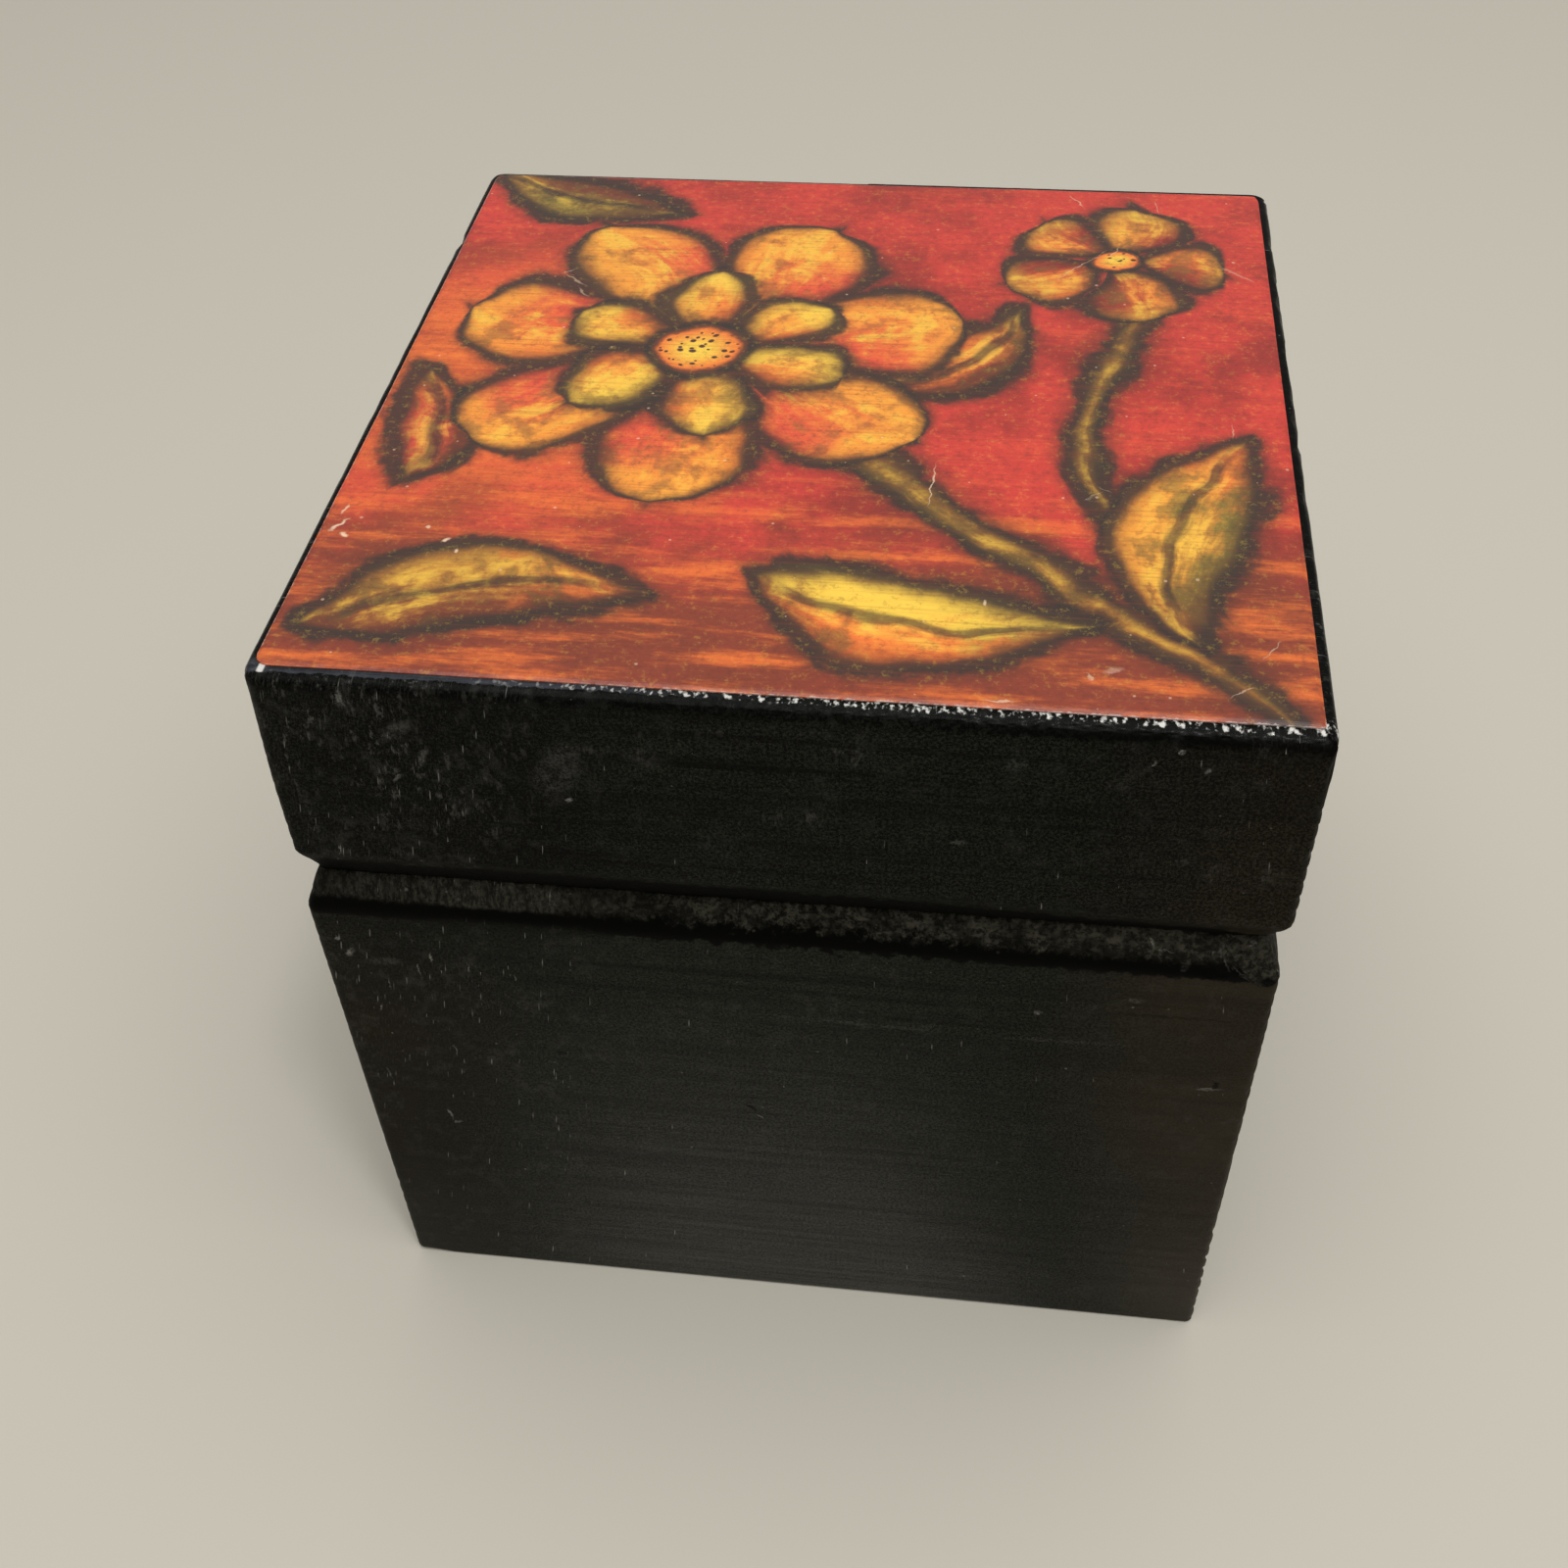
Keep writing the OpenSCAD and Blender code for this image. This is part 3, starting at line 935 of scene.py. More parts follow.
def lacquer_ground(given, axes, across, grit, streak):
    """Black with a brown cast towards the corners, a painted warm reflection, and the wood's grain; also
    gives the share of brown.
    """
    x, y, z = axes
    outward = abs(across)
    # The share of the brown cast, a painted warm reflection, grows towards the corners
    brown = between(outward + between(z, 52, 20, 0, -6), 24, 46)
    upper_left = between(across, 10, -10) * between(z, 50, 66)
    patch = between(cloud(given["Place"], 0.06, 3, 0.55), 0.3, 0.65, 0.6, 1.0)
    brown = product(brown, patch, fused(upper_left, -0.8, 1.0))
    base = mixed(between(grit, 0.4, 0.6), colour(3, 4, 2), colour(39, 41, 34))
    # Painted reflection: warm brown at the sides, lighter towards the right end and on the right half of
    # the base
    cast = mixed(between(across, -10, 10), colour(32, 26, 18), colour(40, 33, 23))
    warm_reflection_right = between(x, 30, 44, 0, 0.6) * between(z, 94, 88)
    warm_reflection_right = maximum(warm_reflection_right, between(x, 0, 10) * between(z, 74, 71))
    cast = mixed(warm_reflection_right, cast, colour(52, 43, 31))
    base = mixed(brown * 0.75, base, cast)
    # The grain shows on the lid, and hardly on the base and at the ends
    shows = between(z, 56, 76, 0.3, 0.8) * between(outward, 24, 44, 1, 0.6)
    base = mixed(between(streak, 0.5, 0.64, 0, 0.6) * shows, base, colour(6, 6, 4))
    bands = cloud(given["Grain place"], (0.02, 0.5, 0.5), 3, 0.6)
    base = mixed(between(bands, 0.5, 0.62, 0, 0.45) * shows, base, colour(8, 8, 6))
    pores = cloud(given["Grain place"], (0.4, 2.6, 2.6), 3, 0.6)
    base = mixed(between(pores, 0.56, 0.68, 0, 0.6) * shows, base, DEEP_BLACK)
    # Painted shade: the lid darkened in fine grains, the left of the lid and the upper left of the base
    # more, and the rounded top edge darkest
    lid_painted_shade = between(z, SEAM_Z, SEAM_Z + 3) * between(grit, 0.59, 0.43, 0.05, 0.85)
    left_part = between(abs(across + 32.0), 20, 7)
    left_painted_shade = product(left_part, between(z, 42, 62, 0, 0.24), between(z, 72, 76, 1.0, 1.65))
    base = mixed(calc("ADD", lid_painted_shade, left_painted_shade, clamp=True), base, DEEP_BLACK)
    # Painted shade along the rounded top edge
    arris_painted_shade = between(z, LID_TOP_Z - 1.9, LID_TOP_Z - 1.0) * between(x, 10, 34, 0.65, 0.92)
    base = mixed(arris_painted_shade, base, DEEP_BLACK)
    return base, brown


def ledge_crumbs(place, x, density):
    """Crumbs of dust on the groove's ledge, which lie thinner where the density falls; the ledge's painted
    light is laid on them too.
    """
    crumbs = fused(density, 0.14, cloud(place, 1.6, 4, 0.75))
    crumbs = between(crumbs, 0.5, 0.71, between(x, 14, 32, 0.0, 0.12), 1.0)
    return crumbs * between(density, 0.02, 0.5)


def ledge_dust_with_painted_light(given, x, crumbs):
    """Dust and painted light on the groove's ledge, the upward upper part of the base's slope: streaked
    upright at the left, and in clumps over rubble further right.
    """
    place, density = given["Place"], given["Ledge"]
    coarse = between(cloud(place, 0.42, 3, 0.6), 0.4, 0.58, between(x, 14, 32, 0.3, 0.42), 1.0)
    chips = specked(specks, place, 0.34, 0.3, 0.95)
    chips = product(chips, between(x, 14, 32, 0.6, 0.12), between(density, 0.0, 0.12))
    clump = fused(coarse, crumbs, chips, clamp=True)
    upright = cloud(place, (2.2, 2.2, 0.3), 4, 0.7)
    streaked = between(upright, 0.42, 0.58, 0.25, 1.35) * between(density, 0.12, 0.4)
    streaked = streaked * between(x, -47, -31, 0.36, 0.68)
    lying = blended(between(x, -32, -10), streaked, clump)
    bare_place = between(abs(x + 15.0), 10, 2, 1.0, 0.6)
    lighter = between(x, 28, 43, 0.95, 1.2) * between(x, 44, 46, 1.0, 0.7)
    uncovered = fused(given["Shade"], -0.9, 1.0, clamp=True)
    return lying * bare_place * lighter * uncovered


def lacquer_dust(given, z, across, grit, brown, black):
    """All other dust: the marks of the front face, a few of them painted highlight, lint, and a pale tint
    that grows towards the foot with the brown cast.
    """
    broken = between(cloud(given["Place"], 0.8, 4, 0.7), 0.38, 0.6, 0.3, 1.3)
    grainy = product(given["Dust"], between(grit, 0.34, 0.58, 0.4, 1.1), broken)
    dust = fused(between(z, 28, -1, 0, 0.066), brown, grainy)
    fallen = placed(lint, Place=given["Place"], Across=across)["Mask"]
    return fused(fallen, 1.0 - black, dust, clamp=True)


def lacquer_gloss(given, z, across, grit, streak, black):
    """Gloss: matt on the worn lid and in the groove, and smoother low down on the base."""
    from_left = across + between(z, 28, 0, 0, 3.5)
    from_right = across + between(z, 28, 0, 0, -9.0)
    gloss = between(from_left, -43, -9, 0.05, 1.0) * between(from_right, 30, 2, 0.24, 1.0)
    gloss = product(gloss, between(z, 70, -4, 0.07, 0.72), between(z, 74, 72, 0.4, 1.0))
    dull = maximum(black, between(given["Ledge"], 0, 0.3))
    gloss = gloss * calc("SUBTRACT", 1.0, dull, clamp=True)
    gloss = gloss * between(grit, 0.38, 0.62, 0.72, 1.28)
    return gloss * between(streak, 0.62, 0.38, 0.7, 1.05)


def painted_light_on_front_edge(given, x, y, streak):
    """Painted sheen and glints along the top's front edge: a grey-blue sheen at the left, and white glints
    further right.
    """
    place = given["Place"]
    lumpy = cloud(place, (1.8, 1.3, 1.3), 3, 0.55)
    from_front = y + HALF_D
    painted_light_reach = fused(cloud(place, 0.9, 3) - 0.5, 0.9, from_front)
    front_edge = product(given["Varnish"], between(painted_light_reach, 1.05, 1.2), between(from_front, 3.0, 2.4))
    to_right = between(fused(lumpy, 30.0, x), -14, 18)
    glints_painted = between(lumpy, 0.5, 0.66) * front_edge * to_right
    # One white painted glint lies beside the sheet's left corner
    glints_painted = fused(front_edge, between(abs(x + 47.5), 0.42, 0.2), glints_painted)
    sheen_painted = product(between(streak, 0.36, 0.6, 0.2, 0.6), front_edge, 1.0 - to_right)
    return sheen_painted, glints_painted


def make_lacquer():
    """Black lacquer over wood, with its dust, and painted light and shade; Ledge is where dust and painted
    light lie in the groove, and Black is painted shade in the groove, where no dust lies.
    """
    given, result = new_group(
        "brushed_lacquer",
        dict(
            Grain_place=VECTOR, Place=VECTOR,
            Varnish=VALUE, Ledge=VALUE, Black=VALUE, Dust=VALUE, Shade=VALUE,
        ),
        dict(Colour=COLOUR, Roughness=VALUE, Gloss=VALUE, Height=VALUE),
    )
    x, y, z = axes = split(given["Place"])
    across = blended(calc("GREATER_THAN", abs(x), abs(y)), x, y)
    grit = cloud(given["Place"], 3.2, 4, 0.8)
    streak = cloud(given["Grain place"], (0.03, 1.0, 1.0), 5, 0.7)
    base, brown = lacquer_ground(given, axes, across, grit, streak)
    # Painted shade in the groove, under the ledge's dust and painted light
    base = mixed(between(given["Ledge"], 0, 0.4), base, PAINTED_GROOVE_SHADE)
    # Painted shade in the groove and the dark marks of the front go to deep black
    black = maximum(given["Shade"] * 0.85, given["Black"], clamp=True)
    base = mixed(black, base, DEEP_BLACK)
    crumbs = ledge_crumbs(given["Place"], x, given["Ledge"])
    # Dust on the groove's ledge, with painted light on its upward slope
    base = mixed(ledge_dust_with_painted_light(given, x, crumbs), base, LEDGE_DUST_AND_LIGHT)
    dust = lacquer_dust(given, z, across, grit, brown, black)
    base = mixed(dust, base, PALE_DUST_AND_HIGHLIGHT)
    # Painted sheen and painted glints along the top's front edge
    sheen_painted, glints_painted = painted_light_on_front_edge(given, x, y, streak)
    base = mixed(sheen_painted, base, PAINTED_SHEEN_GREY)
    base = mixed(glints_painted * 0.8, base, PAINTED_GLINT_WHITE)
    rough = fused(dust, 0.3, between(grit, 0.3, 0.7, 0.42, 0.56))
    rough = blended(given["Varnish"], rough, 0.16)
    wet = fused(glints_painted, 0.85, fused(sheen_painted, 0.5, 0.03))
    gloss = blended(given["Varnish"], lacquer_gloss(given, z, across, grit, streak, black), wet)
    height = fused(crumbs, 0.14, fused(streak, 0.03, grit * 0.03))
    return give(result, Colour=base, Roughness=rough, Gloss=gloss, Height=height)


brushed_lacquer = make_lacquer()


def groove_masks(place):
    """Two bands of the groove: the upper part of the base's slope, with dust and painted light, and the
    painted shade of the lid's slope and of the lower part of the base's slope.
    """
    x, y, z = split(place)
    uneven = cloud(place, 0.7, 3, 0.55) - 0.5
    ragged = product(uneven, between(x, -26, -6, 0.8, 4.0), between(x, 8, 28, 1.0, 0.45))
    below = z - SEAM_Z
    limit = ragged + below
    # The part with dust and painted light reaches further down at the right
    lower = limit + between(x, 0, 24, 0.15, 0.4)
    past_scar = between(fused(below, 0.75, x), SCAR_X - 2.0, SCAR_X - 1.4)
    lower = fused(past_scar, 2.2, lower)
    ledge = between(lower, -3.7, -1.0) * between(below, 0.0, -0.12)
    # Between x -36 and -20 the painted shade fades out slowly
    middle = between(abs(x + 28.0), 12, 6)
    end = between(limit, blended(middle, -5.4, -6.4), blended(middle, -4.8, -3.9))
    # Painted shade below the ledge, on the lower part of the base's slope
    lower_slope_painted_shade = between(lower, -2.0, -2.9) * end
    reach = between(x, 4, 40, 3.1, 1.8) * between(x, 42, 47, 1.0, 0.3)
    over = fused(uneven, 2.4, below) - reach
    # Painted shade on the lid's slope, which faces down into the groove
    lid_slope_painted_shade = between(below, -0.3, 0.0) * between(over, 0.2, -0.2)
    return ledge, maximum(lower_slope_painted_shade, lid_slope_painted_shade)


def lacquer_material():
    """Black lacquer outside, bare softwood inside, with a ragged edge of paint on the rim."""
    material, tree, shader, place = new_material("black_lacquer_over_softwood")
    grain = attribute(tree, "grain_place", "Vector")
    dust, shade, height = front_marks(place)
    ledge, black = groove_masks(place)
    coat = placed(
        brushed_lacquer, Grain_place=grain, Place=place, Varnish=attribute(tree, "varnish"),
        Ledge=ledge, Black=black, Dust=dust, Shade=shade,
    )
    wood = placed(bare_softwood, Place=grain)
    ragged = fused(cloud(place, 0.5, 4, 0.65), 0.5, attribute(tree, "paint"))
    painted = between(ragged, 0.86, 0.94)
    height = blended(painted, wood["Height"], coat["Height"] + height)
    base = mixed(painted, wood["Colour"], coat["Colour"])
    rough = blended(painted, wood["Roughness"], coat["Roughness"])
    gloss = painted * coat["Gloss"]
    finish(
        shader, height, Base_Color=base, Roughness=rough,
        Specular_IOR_Level=0.03, Coat_Weight=gloss, Coat_Roughness=0.16,
    )
    return material


# The picture: leaves and two flowers in inked outline, made up for this box

CRIMSON = colour(200, 54, 42)
WINE = colour(152, 36, 28)
SCARLET = colour(220, 74, 46)
ORANGE = colour(232, 112, 40)
AMBER = colour(236, 152, 48)
YELLOW = colour(240, 196, 66)
OCHRE = colour(186, 126, 42)
OLIVE = colour(116, 100, 36)
BROWN = colour(116, 50, 24)
UMBER = colour(74, 36, 20)
INK = colour(38, 30, 24)
WORN_PAPER = colour(236, 204, 170)
# The sheet's pale cut edge, with a painted highlight along it
CUT_PAPER_HIGHLIGHT = colour(205, 192, 184)

LARGE_FLOWER = (-15, 9)
SMALL_FLOWER = (31, 31)
GLOW_CENTRE = (-34, 2, 0)

# How far the brush strays
STRAY = 6.0

# Pointedness, ink and rib of the strokes
LEAF = (0.9, 1.1, 1.0)
STEM = (0.35, 0.9, 0.0)

# Leaves: x, y, turn in degrees, half length, half width, bend, sway, light, deep, tip, style
LEAVES = [
    (14, -20, -42, 44, 2.2, 6, -5, OCHRE, OLIVE, AMBER, STEM),
    (29, 4, 78, 26, 1.7, -5, 3, OCHRE, OLIVE, AMBER, STEM),
    (-31, -35, 14, 17, 6.4, -4, 0, OCHRE, BROWN, ORANGE, LEAF),
    (12, -38, -8, 18, 6.4, 5, 0, YELLOW, ORANGE, OLIVE, LEAF),
    (37, -20, 72, 17, 7.0, -5, 2, AMBER, OLIVE, ORANGE, LEAF),
    (15, 8, 40, 13, 5.0, 4, 0, ORANGE, BROWN, OCHRE, LEAF),
    (-37, 43, 156, 14, 5.2, -3, 0, OLIVE, BROWN, OCHRE, LEAF),
    (-41, -8, 98, 11, 4.4, 3, 0, SCARLET, BROWN, ORANGE, LEAF),
]
# Rings of petals: centre, count, turn, gap at the centre, half length, half width, lights, deep, tip
RINGS = [
    (LARGE_FLOWER, 7, 14, 5.0, 12.6, 8.2, (ORANGE, AMBER), SCARLET, AMBER),
    (LARGE_FLOWER, 6, 38, 2.2, 7.6, 4.8, (AMBER, YELLOW), ORANGE, YELLOW),
    (SMALL_FLOWER, 5, 70, 1.6, 6.0, 5.2, (ORANGE, AMBER), WINE, OCHRE),
]


def make_painted_shape():
    """One inked and shaded shape, painted over what lies under it."""
    given, result = new_group(
        "painted_shape",
        dict(
            Under=COLOUR, Along=VALUE, Across=VALUE, Depth=VALUE, Local=VECTOR,
            Light=COLOUR, Deep=COLOUR, Tip=COLOUR, Ink=VALUE, Rib=VALUE,
        ),
        dict(Colour=COLOUR),
    )
    brush = cloud(given["Local"], (0.12, 0.7, 3.0), 5, 0.65) - 0.5
    smudge = cloud(given["Local"], 0.22, 4, 0.6) - 0.5
    depth = fused(smudge, 2.4, fused(brush, 1.2, given["Depth"]))
    shadow = mixed(between(depth, -3.4, -0.2, 0, 0.6), given["Under"], UMBER)
    lit = fused(smudge, 2.0, fused(brush, 1.8, given["Across"]))
    body = mixed(between(lit, -0.75, 0.5), given["Deep"], given["Light"])
    out = fused(smudge, 1.5, given["Along"])
    body = mixed(between(out, 0.1, 0.9, 0, 0.9), body, given["Tip"])
    body = mixed(between(out, -0.25, -1.0, 0, 0.7), body, BROWN)
    glow = between(abs(lit - 0.3), 0.55, 0.05, 0, 0.6)
    body = mixed(glow * between(smudge, -0.1, 0.1), body, YELLOW)
    body = mixed(between(smudge, -0.02, -0.14, 0, 0.5), body, OLIVE)
    body = mixed(between(depth, 3.6, 0.8, 0, 0.62), body, UMBER)
    painting = mixed(between(depth, -0.3, 0.6), shadow, body)
    rib = between(fused(brush, 1.6, abs(split(given["Local"])[1])), 1.1, 0.25)
    rib = product(rib, between(abs(given["Along"]), 0.9, 0.6), given["Rib"])
    painting = mixed(rib * 0.75, painting, INK)
    heavy = given["Ink"] * fused(smudge, 2.6, 1.0)
    line = between(abs(depth - 0.1), heavy + 0.7, heavy - 0.7)
    painting = mixed(line * 0.88, painting, INK)
    return give(result, Colour=painting)


painted_shape = make_painted_shape()


def paint_shape(under, outline, light, deep, tip, ink, rib):
    """Lays one shape over the colour under it, within the outline that the stroke group gave."""
    along, across, depth, local = outline
    return placed(
        painted_shape, Under=under, Along=along, Across=across, Depth=depth, Local=local,
        Light=light, Deep=deep, Tip=tip, Ink=ink, Rib=rib,
    )["Colour"]


def paint_leaf(under, place, x, y, turn, half_length, half_width, bend, sway, light, deep, tip, style):
    """Lays one leaf or stem over the colour under it."""
    pointed, ink, rib = style
    outline = placed(
        stroke, Place=place, Centre=(x, y, 0), Turn=math.radians(turn), Half_length=half_length,
        Half_width=half_width, Bend=bend, Sway=sway, Fullness=-0.15, Pointed=pointed, Seed=turn,
    )
    return paint_shape(under, outline, light, deep, tip, ink, rib)


def paint_ring(under, place, centre, count, turn, near, half_length, half_width, lights, deep, tip):
    """Lays a ring of petals, each a little different, over the colour under it."""
    sector = placed(petal_ring, Place=place, Centre=(*centre, 0), Count=count, Turn=math.radians(turn))
    lot = sector["Lot"]
    outline = placed(
        stroke, Place=sector["Spot"], Centre=(near + half_length, 0, 0), Turn=fused(lot, 0.16, -0.08),
        Half_length=fused(lot, 0.16 * half_length, 0.9 * half_length), Half_width=half_width,
        Bend=fused(lot, 3.0, -1.5), Fullness=0.45, Pointed=0.6, Seed=sector["Number"],
    )
    return paint_shape(under, outline, mixed(lot, *lights), deep, tip, 1.05, 0.0)


def picture_ground(place):
    """Crimson ground, glowing orange at the left and red-brown towards the front."""
    x, y, z = split(place)
    strokes = cloud(place, (0.05, 0.3, 0.3), 5, 0.65)
    patches = cloud(place, 0.06, 4, 0.6)
    ground = mixed(between(patches, 0.38, 0.6), WINE, CRIMSON)
    ground = mixed(between(strokes, 0.5, 0.72, 0, 0.6), ground, SCARLET)
    shaken = fused(patches - 0.5, 34, y)
    ground = mixed(between(shaken, -18, -36, 0, 0.85), ground, BROWN)
    embers = between(strokes, 0.46, 0.66) * between(shaken, -8, -30)
    ground = mixed(embers * 0.75, ground, ORANGE)
    away = vector_calc("DISTANCE", stretched(place, (1, 1, 0)), GLOW_CENTRE, output="Value")
    glow = between(away, 36, 8, 0, 0.9) * between(strokes, 0.3, 0.6, 0.4, 1.0)
    return mixed(glow, ground, ORANGE)


def flower_heart(under, place, at, size):
    """The heart of a flower: a yellow disc in an inked ring, stippled with seeds."""
    away = vector_calc("DISTANCE", stretched(place, (1, 1, 0)), (*at, 0), output="Value")
    radius = (away + (cloud(place, 0.5, 3) - 0.5)) / size
    disc = mixed(between(radius, 0.15, 0.9), YELLOW, ORANGE)
    seeds = specked(dots, place, 0.85, 0.42, 1.25)
    disc = mixed(seeds * between(radius, 0.9, 0.75), disc, UMBER)
    painting = mixed(between(radius, 1.6, 1.0, 0, 0.6), under, UMBER)
    painting = mixed(between(radius, 1.02, 0.92), painting, disc)
    rim = between(abs(radius - 1.0), 0.26, 0.08, 0, 0.9)
    return mixed(rim, painting, INK)


# Wear on the sheet: x, y, turn in degrees, half length, half width, paleness, height
SHEET_MARKS = [
    (27, 30, 50, 6, 0.11, 0.35, 0.03),
    (26.5, 46, -60, 2.2, 0.14, 0.4, 0.03),
    (36.3, 45, -82, 2.4, 0.1, 0.35, 0.02),
    (31, 33.5, 65, 1.7, 0.12, 0.35, 0.02),
    (45.2, 29.2, -42, 3.2, 0.3, 0.22, 0.05),
    (12.4, -15.5, 88, 4.6, 0.12, 0.6, 0.03),
    (43, -3.6, 90, 1.6, 0.12, 0.3, 0.02),
    (-46.6, -27, 60, 1.6, 0.3, 0.75, 0.06),
    (-45.6, -28.6, -30, 0.8, 0.4, 0.8, 0.06),
    (-46.8, -24.4, 75, 1, 0.25, 0.6, 0.05),
    (-35, -28.6, 20, 0.5, 0.35, 0.75, 0.06),
    (-33.6, -30.2, 60, 0.4, 0.3, 0.7, 0.06),
    (-37.6, -26.6, 0, 0.35, 0.3, 0.6, 0.05),
    (-32.6, 22.6, -40, 2.4, 0.22, 0.3, 0.08),
    (-31, 19.8, -50, 1.6, 0.2, 0.3, 0.08),
    (-33.8, 24.6, 35, 1.1, 0.2, 0.25, 0.08),
    (28.6, -16, 40, 1.5, 0.3, 0.12, 0.12),
    (29.8, -14.8, -35, 1, 0.24, 0.12, 0.12),
    (30.4, -42.5, 20, 1.3, 0.5, 0.22, 0.12),
    (28.4, -43.6, -60, 0.7, 0.35, 0.35, 0.1),
    (18.6, -34, 90, 0.5, 0.3, 0.6, 0.06),
    (20.5, -47.6, 4, 1.8, 0.22, 0.5, 0.06),
    (44.8, -38.5, 55, 2, 0.14, 0.35, 0.05),
    (41.8, -44.6, 40, 1.6, 0.14, 0.35, 0.05),
]


def sheet_wear(place):
    """Paleness and height of the scratches, chips and lumps on the sheet."""
    ragged = cloud(place, 0.9, 3, output="Color")
    flat = stretched(ragged, (SHEET_RAGGED, SHEET_RAGGED, 0), stretched(place, (1, 1, 0)))
    pale, height = 0.0, 0.0
    for *shape, paleness, rise_by in SHEET_MARKS:
        mask = marked(flat, SHEET_RAGGED, *shape)
        pale = fused(mask, paleness, pale)
        height = fused(mask, rise_by, height)
    grains = specked(dots, place, 0.09, 0.2, 3.2)
    return maximum(pale, grains * 0.35, clamp=True), height


def paper_edge_and_highlight(tree, place):
    """The pale cut edge of the sheet with a painted highlight on it, which shows in a broken line at the
    front and faintly at the left.
    """
    x, y, z = split(place)
    off = fused(cloud(place, 1.2, 3, 0.7) - 0.5, 0.7, attribute(tree, "edge_depth"))
    front = between(y, -46.5, -47.5, 0, 0.6) * between(x, -28, 4, 0.15, 1.0)
    left = between(x, -46.5, -47.5, 0, 0.35)
    return between(off, 0.14, -0.04) * maximum(front, left)


def picture_material():
    """The painted picture on paper over long grain, under gloss varnish."""
    material, tree, shader, place = new_material("painted_picture_under_varnish")
    drift = cloud(place, 0.07, output="Color")
    shaky = stretched(drift, (STRAY, STRAY, 0), place)
    shaky = stretched(shaky, (1, 1, 0), (-STRAY / 2, -STRAY / 2, 0))
    painting = picture_ground(place)
    for row in LEAVES:
        painting = paint_leaf(painting, shaky, *row)
    for row in RINGS:
        painting = paint_ring(painting, shaky, *row)
    painting = flower_heart(painting, shaky, LARGE_FLOWER, 5.6)
    painting = flower_heart(painting, shaky, SMALL_FLOWER, 2.9)
    # Dry brush, soot, fibres of the wood that tell through, and wear
    dry = cloud(place, 1.3, 5, 0.75)
    painting = mixed(between(dry, 0.5, 0.66, 0, 0.36), painting, UMBER)
    painting = mixed(between(dry, 0.46, 0.34, 0, 0.14), painting, YELLOW)
    fibre = cloud(place, (0.05, 2.6, 2.6), 3, 0.6)
    painting = mixed(between(fibre, 0.5, 0.66, 0, 0.26), painting, BROWN)
    pale, wear_height = sheet_wear(place)
    painting = mixed(pale, painting, WORN_PAPER)
    # The sheet's cut edge, with a painted highlight mostly along the front
    painting = mixed(paper_edge_and_highlight(tree, place), painting, CUT_PAPER_HIGHLIGHT)
    rough = fused(pale, 0.25, between(cloud(place, 0.12, 3), 0.35, 0.65, 0.2, 0.3))
    height = fused(fibre, 0.05, wear_height)
    height = fused(cloud(place, 0.45, 3), 0.12, height)
    finish(shader, height, Base_Color=painting, Roughness=rough)
    return material


lacquer, softwood = lacquer_material(), bare_wood_material()
for piece in lacquered:
    piece.data.materials.append(lacquer)
for piece in bare:
    piece.data.materials.append(softwood)
picture.data.materials.append(picture_material())


# Stage, light and camera

FLOOR_REACH = 4.0

# The photo's camera, fitted to the outlines of the box, in degrees and millimetres
CAMERA_AZIMUTH = 8.766
CAMERA_ELEVATION = 44.815
CAMERA_ROLL = -2.452
CAMERA_PLACE = (19.213, -167.122, 208.320)
CAMERA_LENS = 41.318


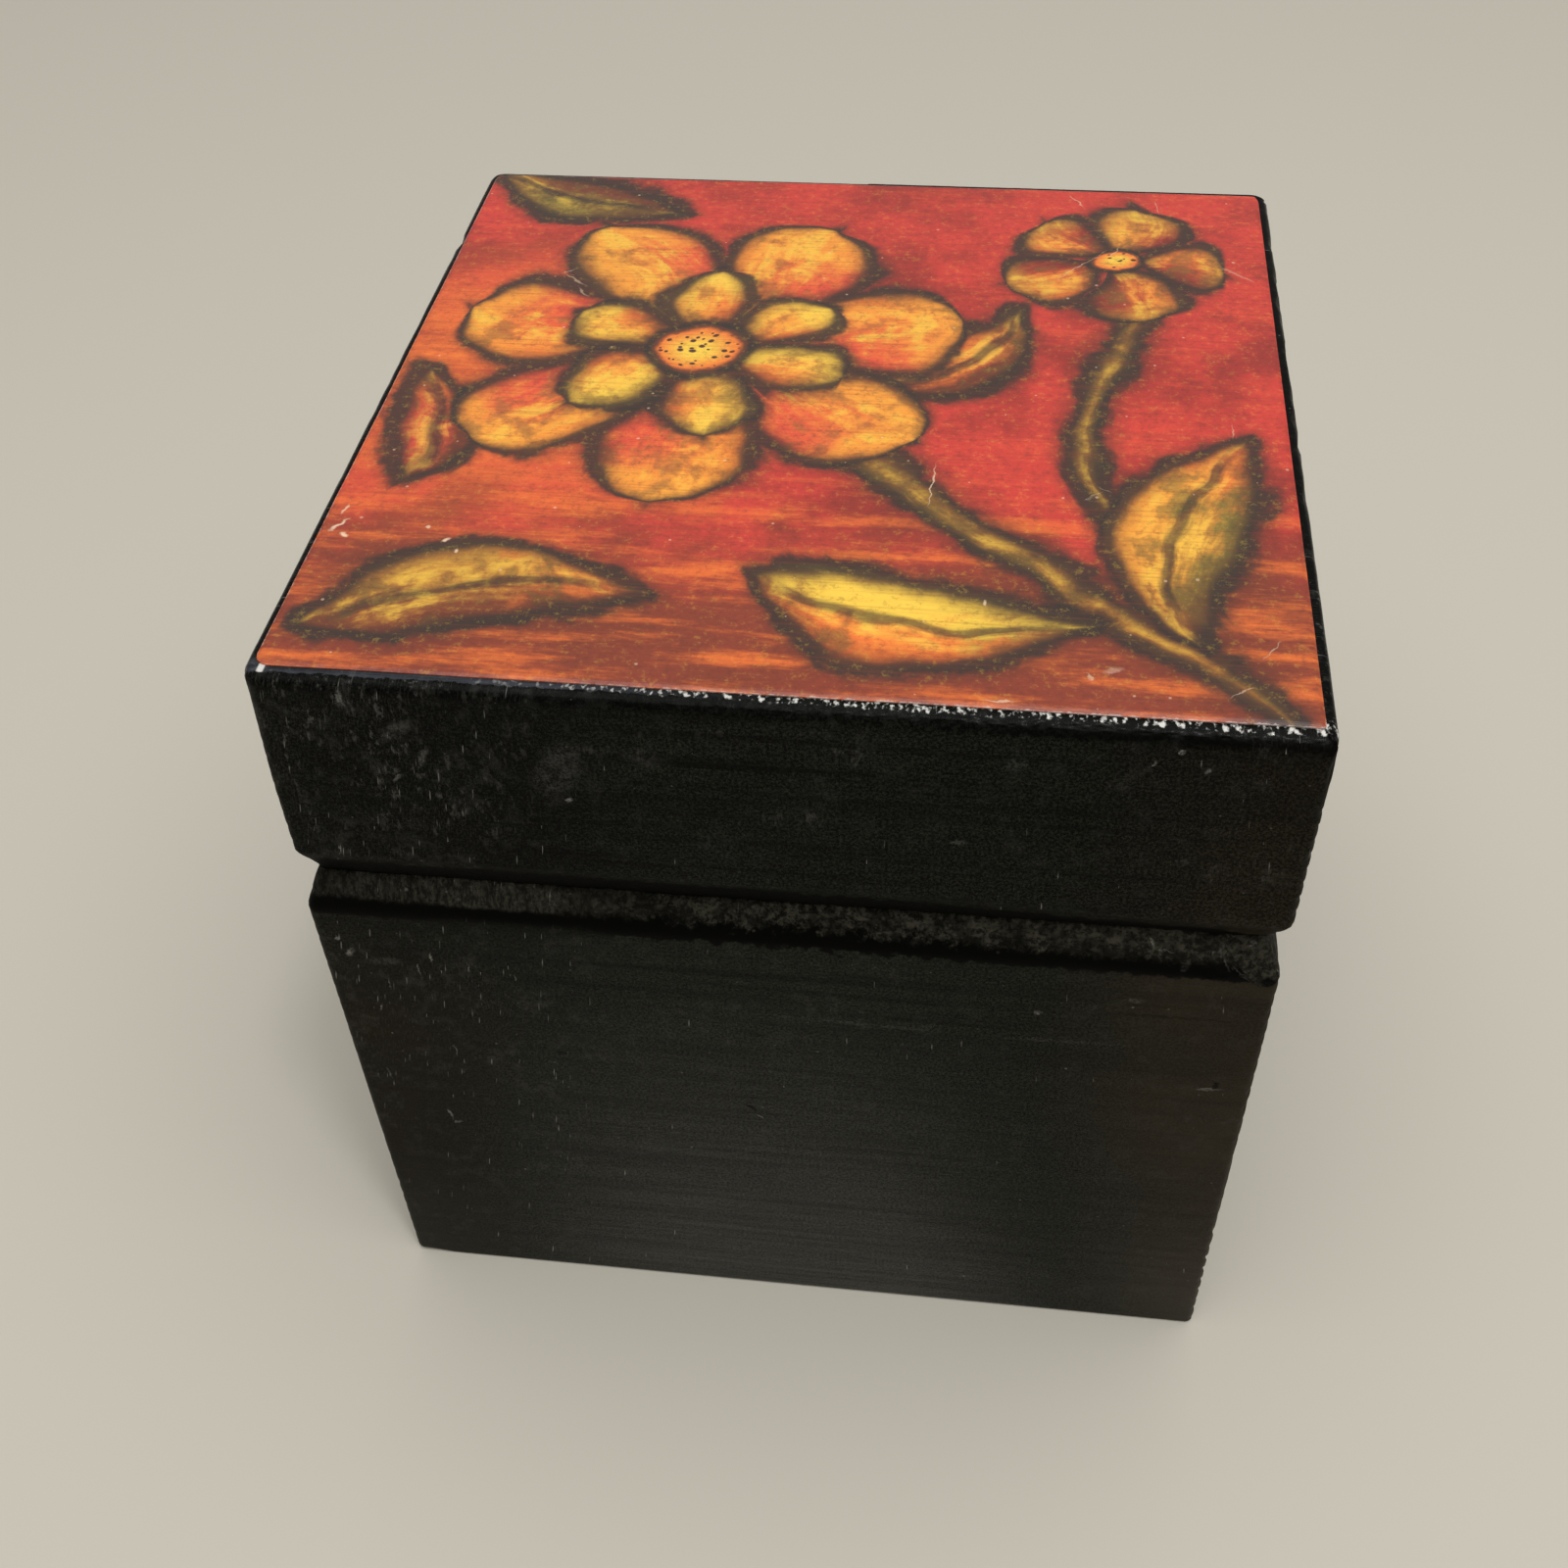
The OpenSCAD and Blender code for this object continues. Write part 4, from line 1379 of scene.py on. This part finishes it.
def stage_floor():
    """A plain pale floor, measured in metres."""
    mesh = bpy.data.meshes.new("floor")
    r = FLOOR_REACH
    mesh.from_pydata([(-r, -r, 0), (r, -r, 0), (r, r, 0), (-r, r, 0)], [], [(0, 1, 2, 3)])
    floor = bpy.data.objects.new("floor", mesh)
    bpy.context.scene.collection.objects.link(floor)
    material, tree, shader, place = new_material("pale_floor")
    finish(shader, Base_Color=colour(194, 189, 176), Roughness=0.9, Specular_IOR_Level=0.2)
    mesh.materials.append(material)
    floor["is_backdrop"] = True


def lamp(name, width, watts, place, towards=(0, 0, 0.05)):
    """A round lamp; its width, its place and the place it faces are in metres."""
    data = bpy.data.lights.new(name, "AREA")
    data.shape = "DISK"
    data.size = width
    data.energy = watts
    holder = bpy.data.objects.new(name, data)
    holder.location = place
    holder.rotation_euler = (Vector(towards) - Vector(place)).to_track_quat("-Z", "Y").to_euler()
    bpy.context.scene.collection.objects.link(holder)


def world_light():
    """Soft light that is strongest overhead, fair behind the box and weak low down in front of it."""
    world = bpy.data.worlds.new("studio")
    bpy.context.scene.world = world
    world.use_nodes = True
    tree = world.node_tree
    x, y, z = split(source(tree, "ShaderNodeTexCoord", "Generated"))
    strength = between(z, 0.1, 0.9, 0.1, 0.6) + between(y, -0.2, 0.6, 0.0, 0.16)
    seen = source(tree, "ShaderNodeLightPath", "Is Camera Ray")
    feed(tree.nodes["Background"], {"Strength": blended(seen, strength, 0.8), "Color": (1, 0.99, 0.965, 1)})


def photo_camera():
    """A camera where the photo's camera stood, looking the same way."""
    azimuth, elevation, roll = (math.radians(a) for a in (CAMERA_AZIMUTH, CAMERA_ELEVATION, CAMERA_ROLL))
    level = math.cos(elevation)
    back = Vector((math.sin(azimuth) * level, -math.cos(azimuth) * level, math.sin(elevation)))
    right = Vector((0, 0, 1)).cross(back).normalized()
    up = back.cross(right)
    c, s = math.cos(roll), math.sin(roll)
    turned = Matrix((c * right + s * up, -s * right + c * up, back)).transposed()
    data = bpy.data.cameras.new("camera")
    data.sensor_width = 36
    data.lens = CAMERA_LENS
    data.clip_start = 0.01
    camera = bpy.data.objects.new("camera", data)
    camera.matrix_world = Matrix.Translation(Vector(CAMERA_PLACE) * MM) @ turned.to_4x4()
    bpy.context.scene.collection.objects.link(camera)
    bpy.context.scene.camera = camera


stage_floor()
lamp("overhead", 1.1, 5.3, (0.1, -0.18, 0.9))
lamp("key", 0.09, 1.2, (0.16, -0.27, 0.8))
world_light()
photo_camera()
bpy.context.scene.view_settings.view_transform = "Standard"

{"cad": [list(c) for c in cad_box], "visual": [list(c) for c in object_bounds()]}
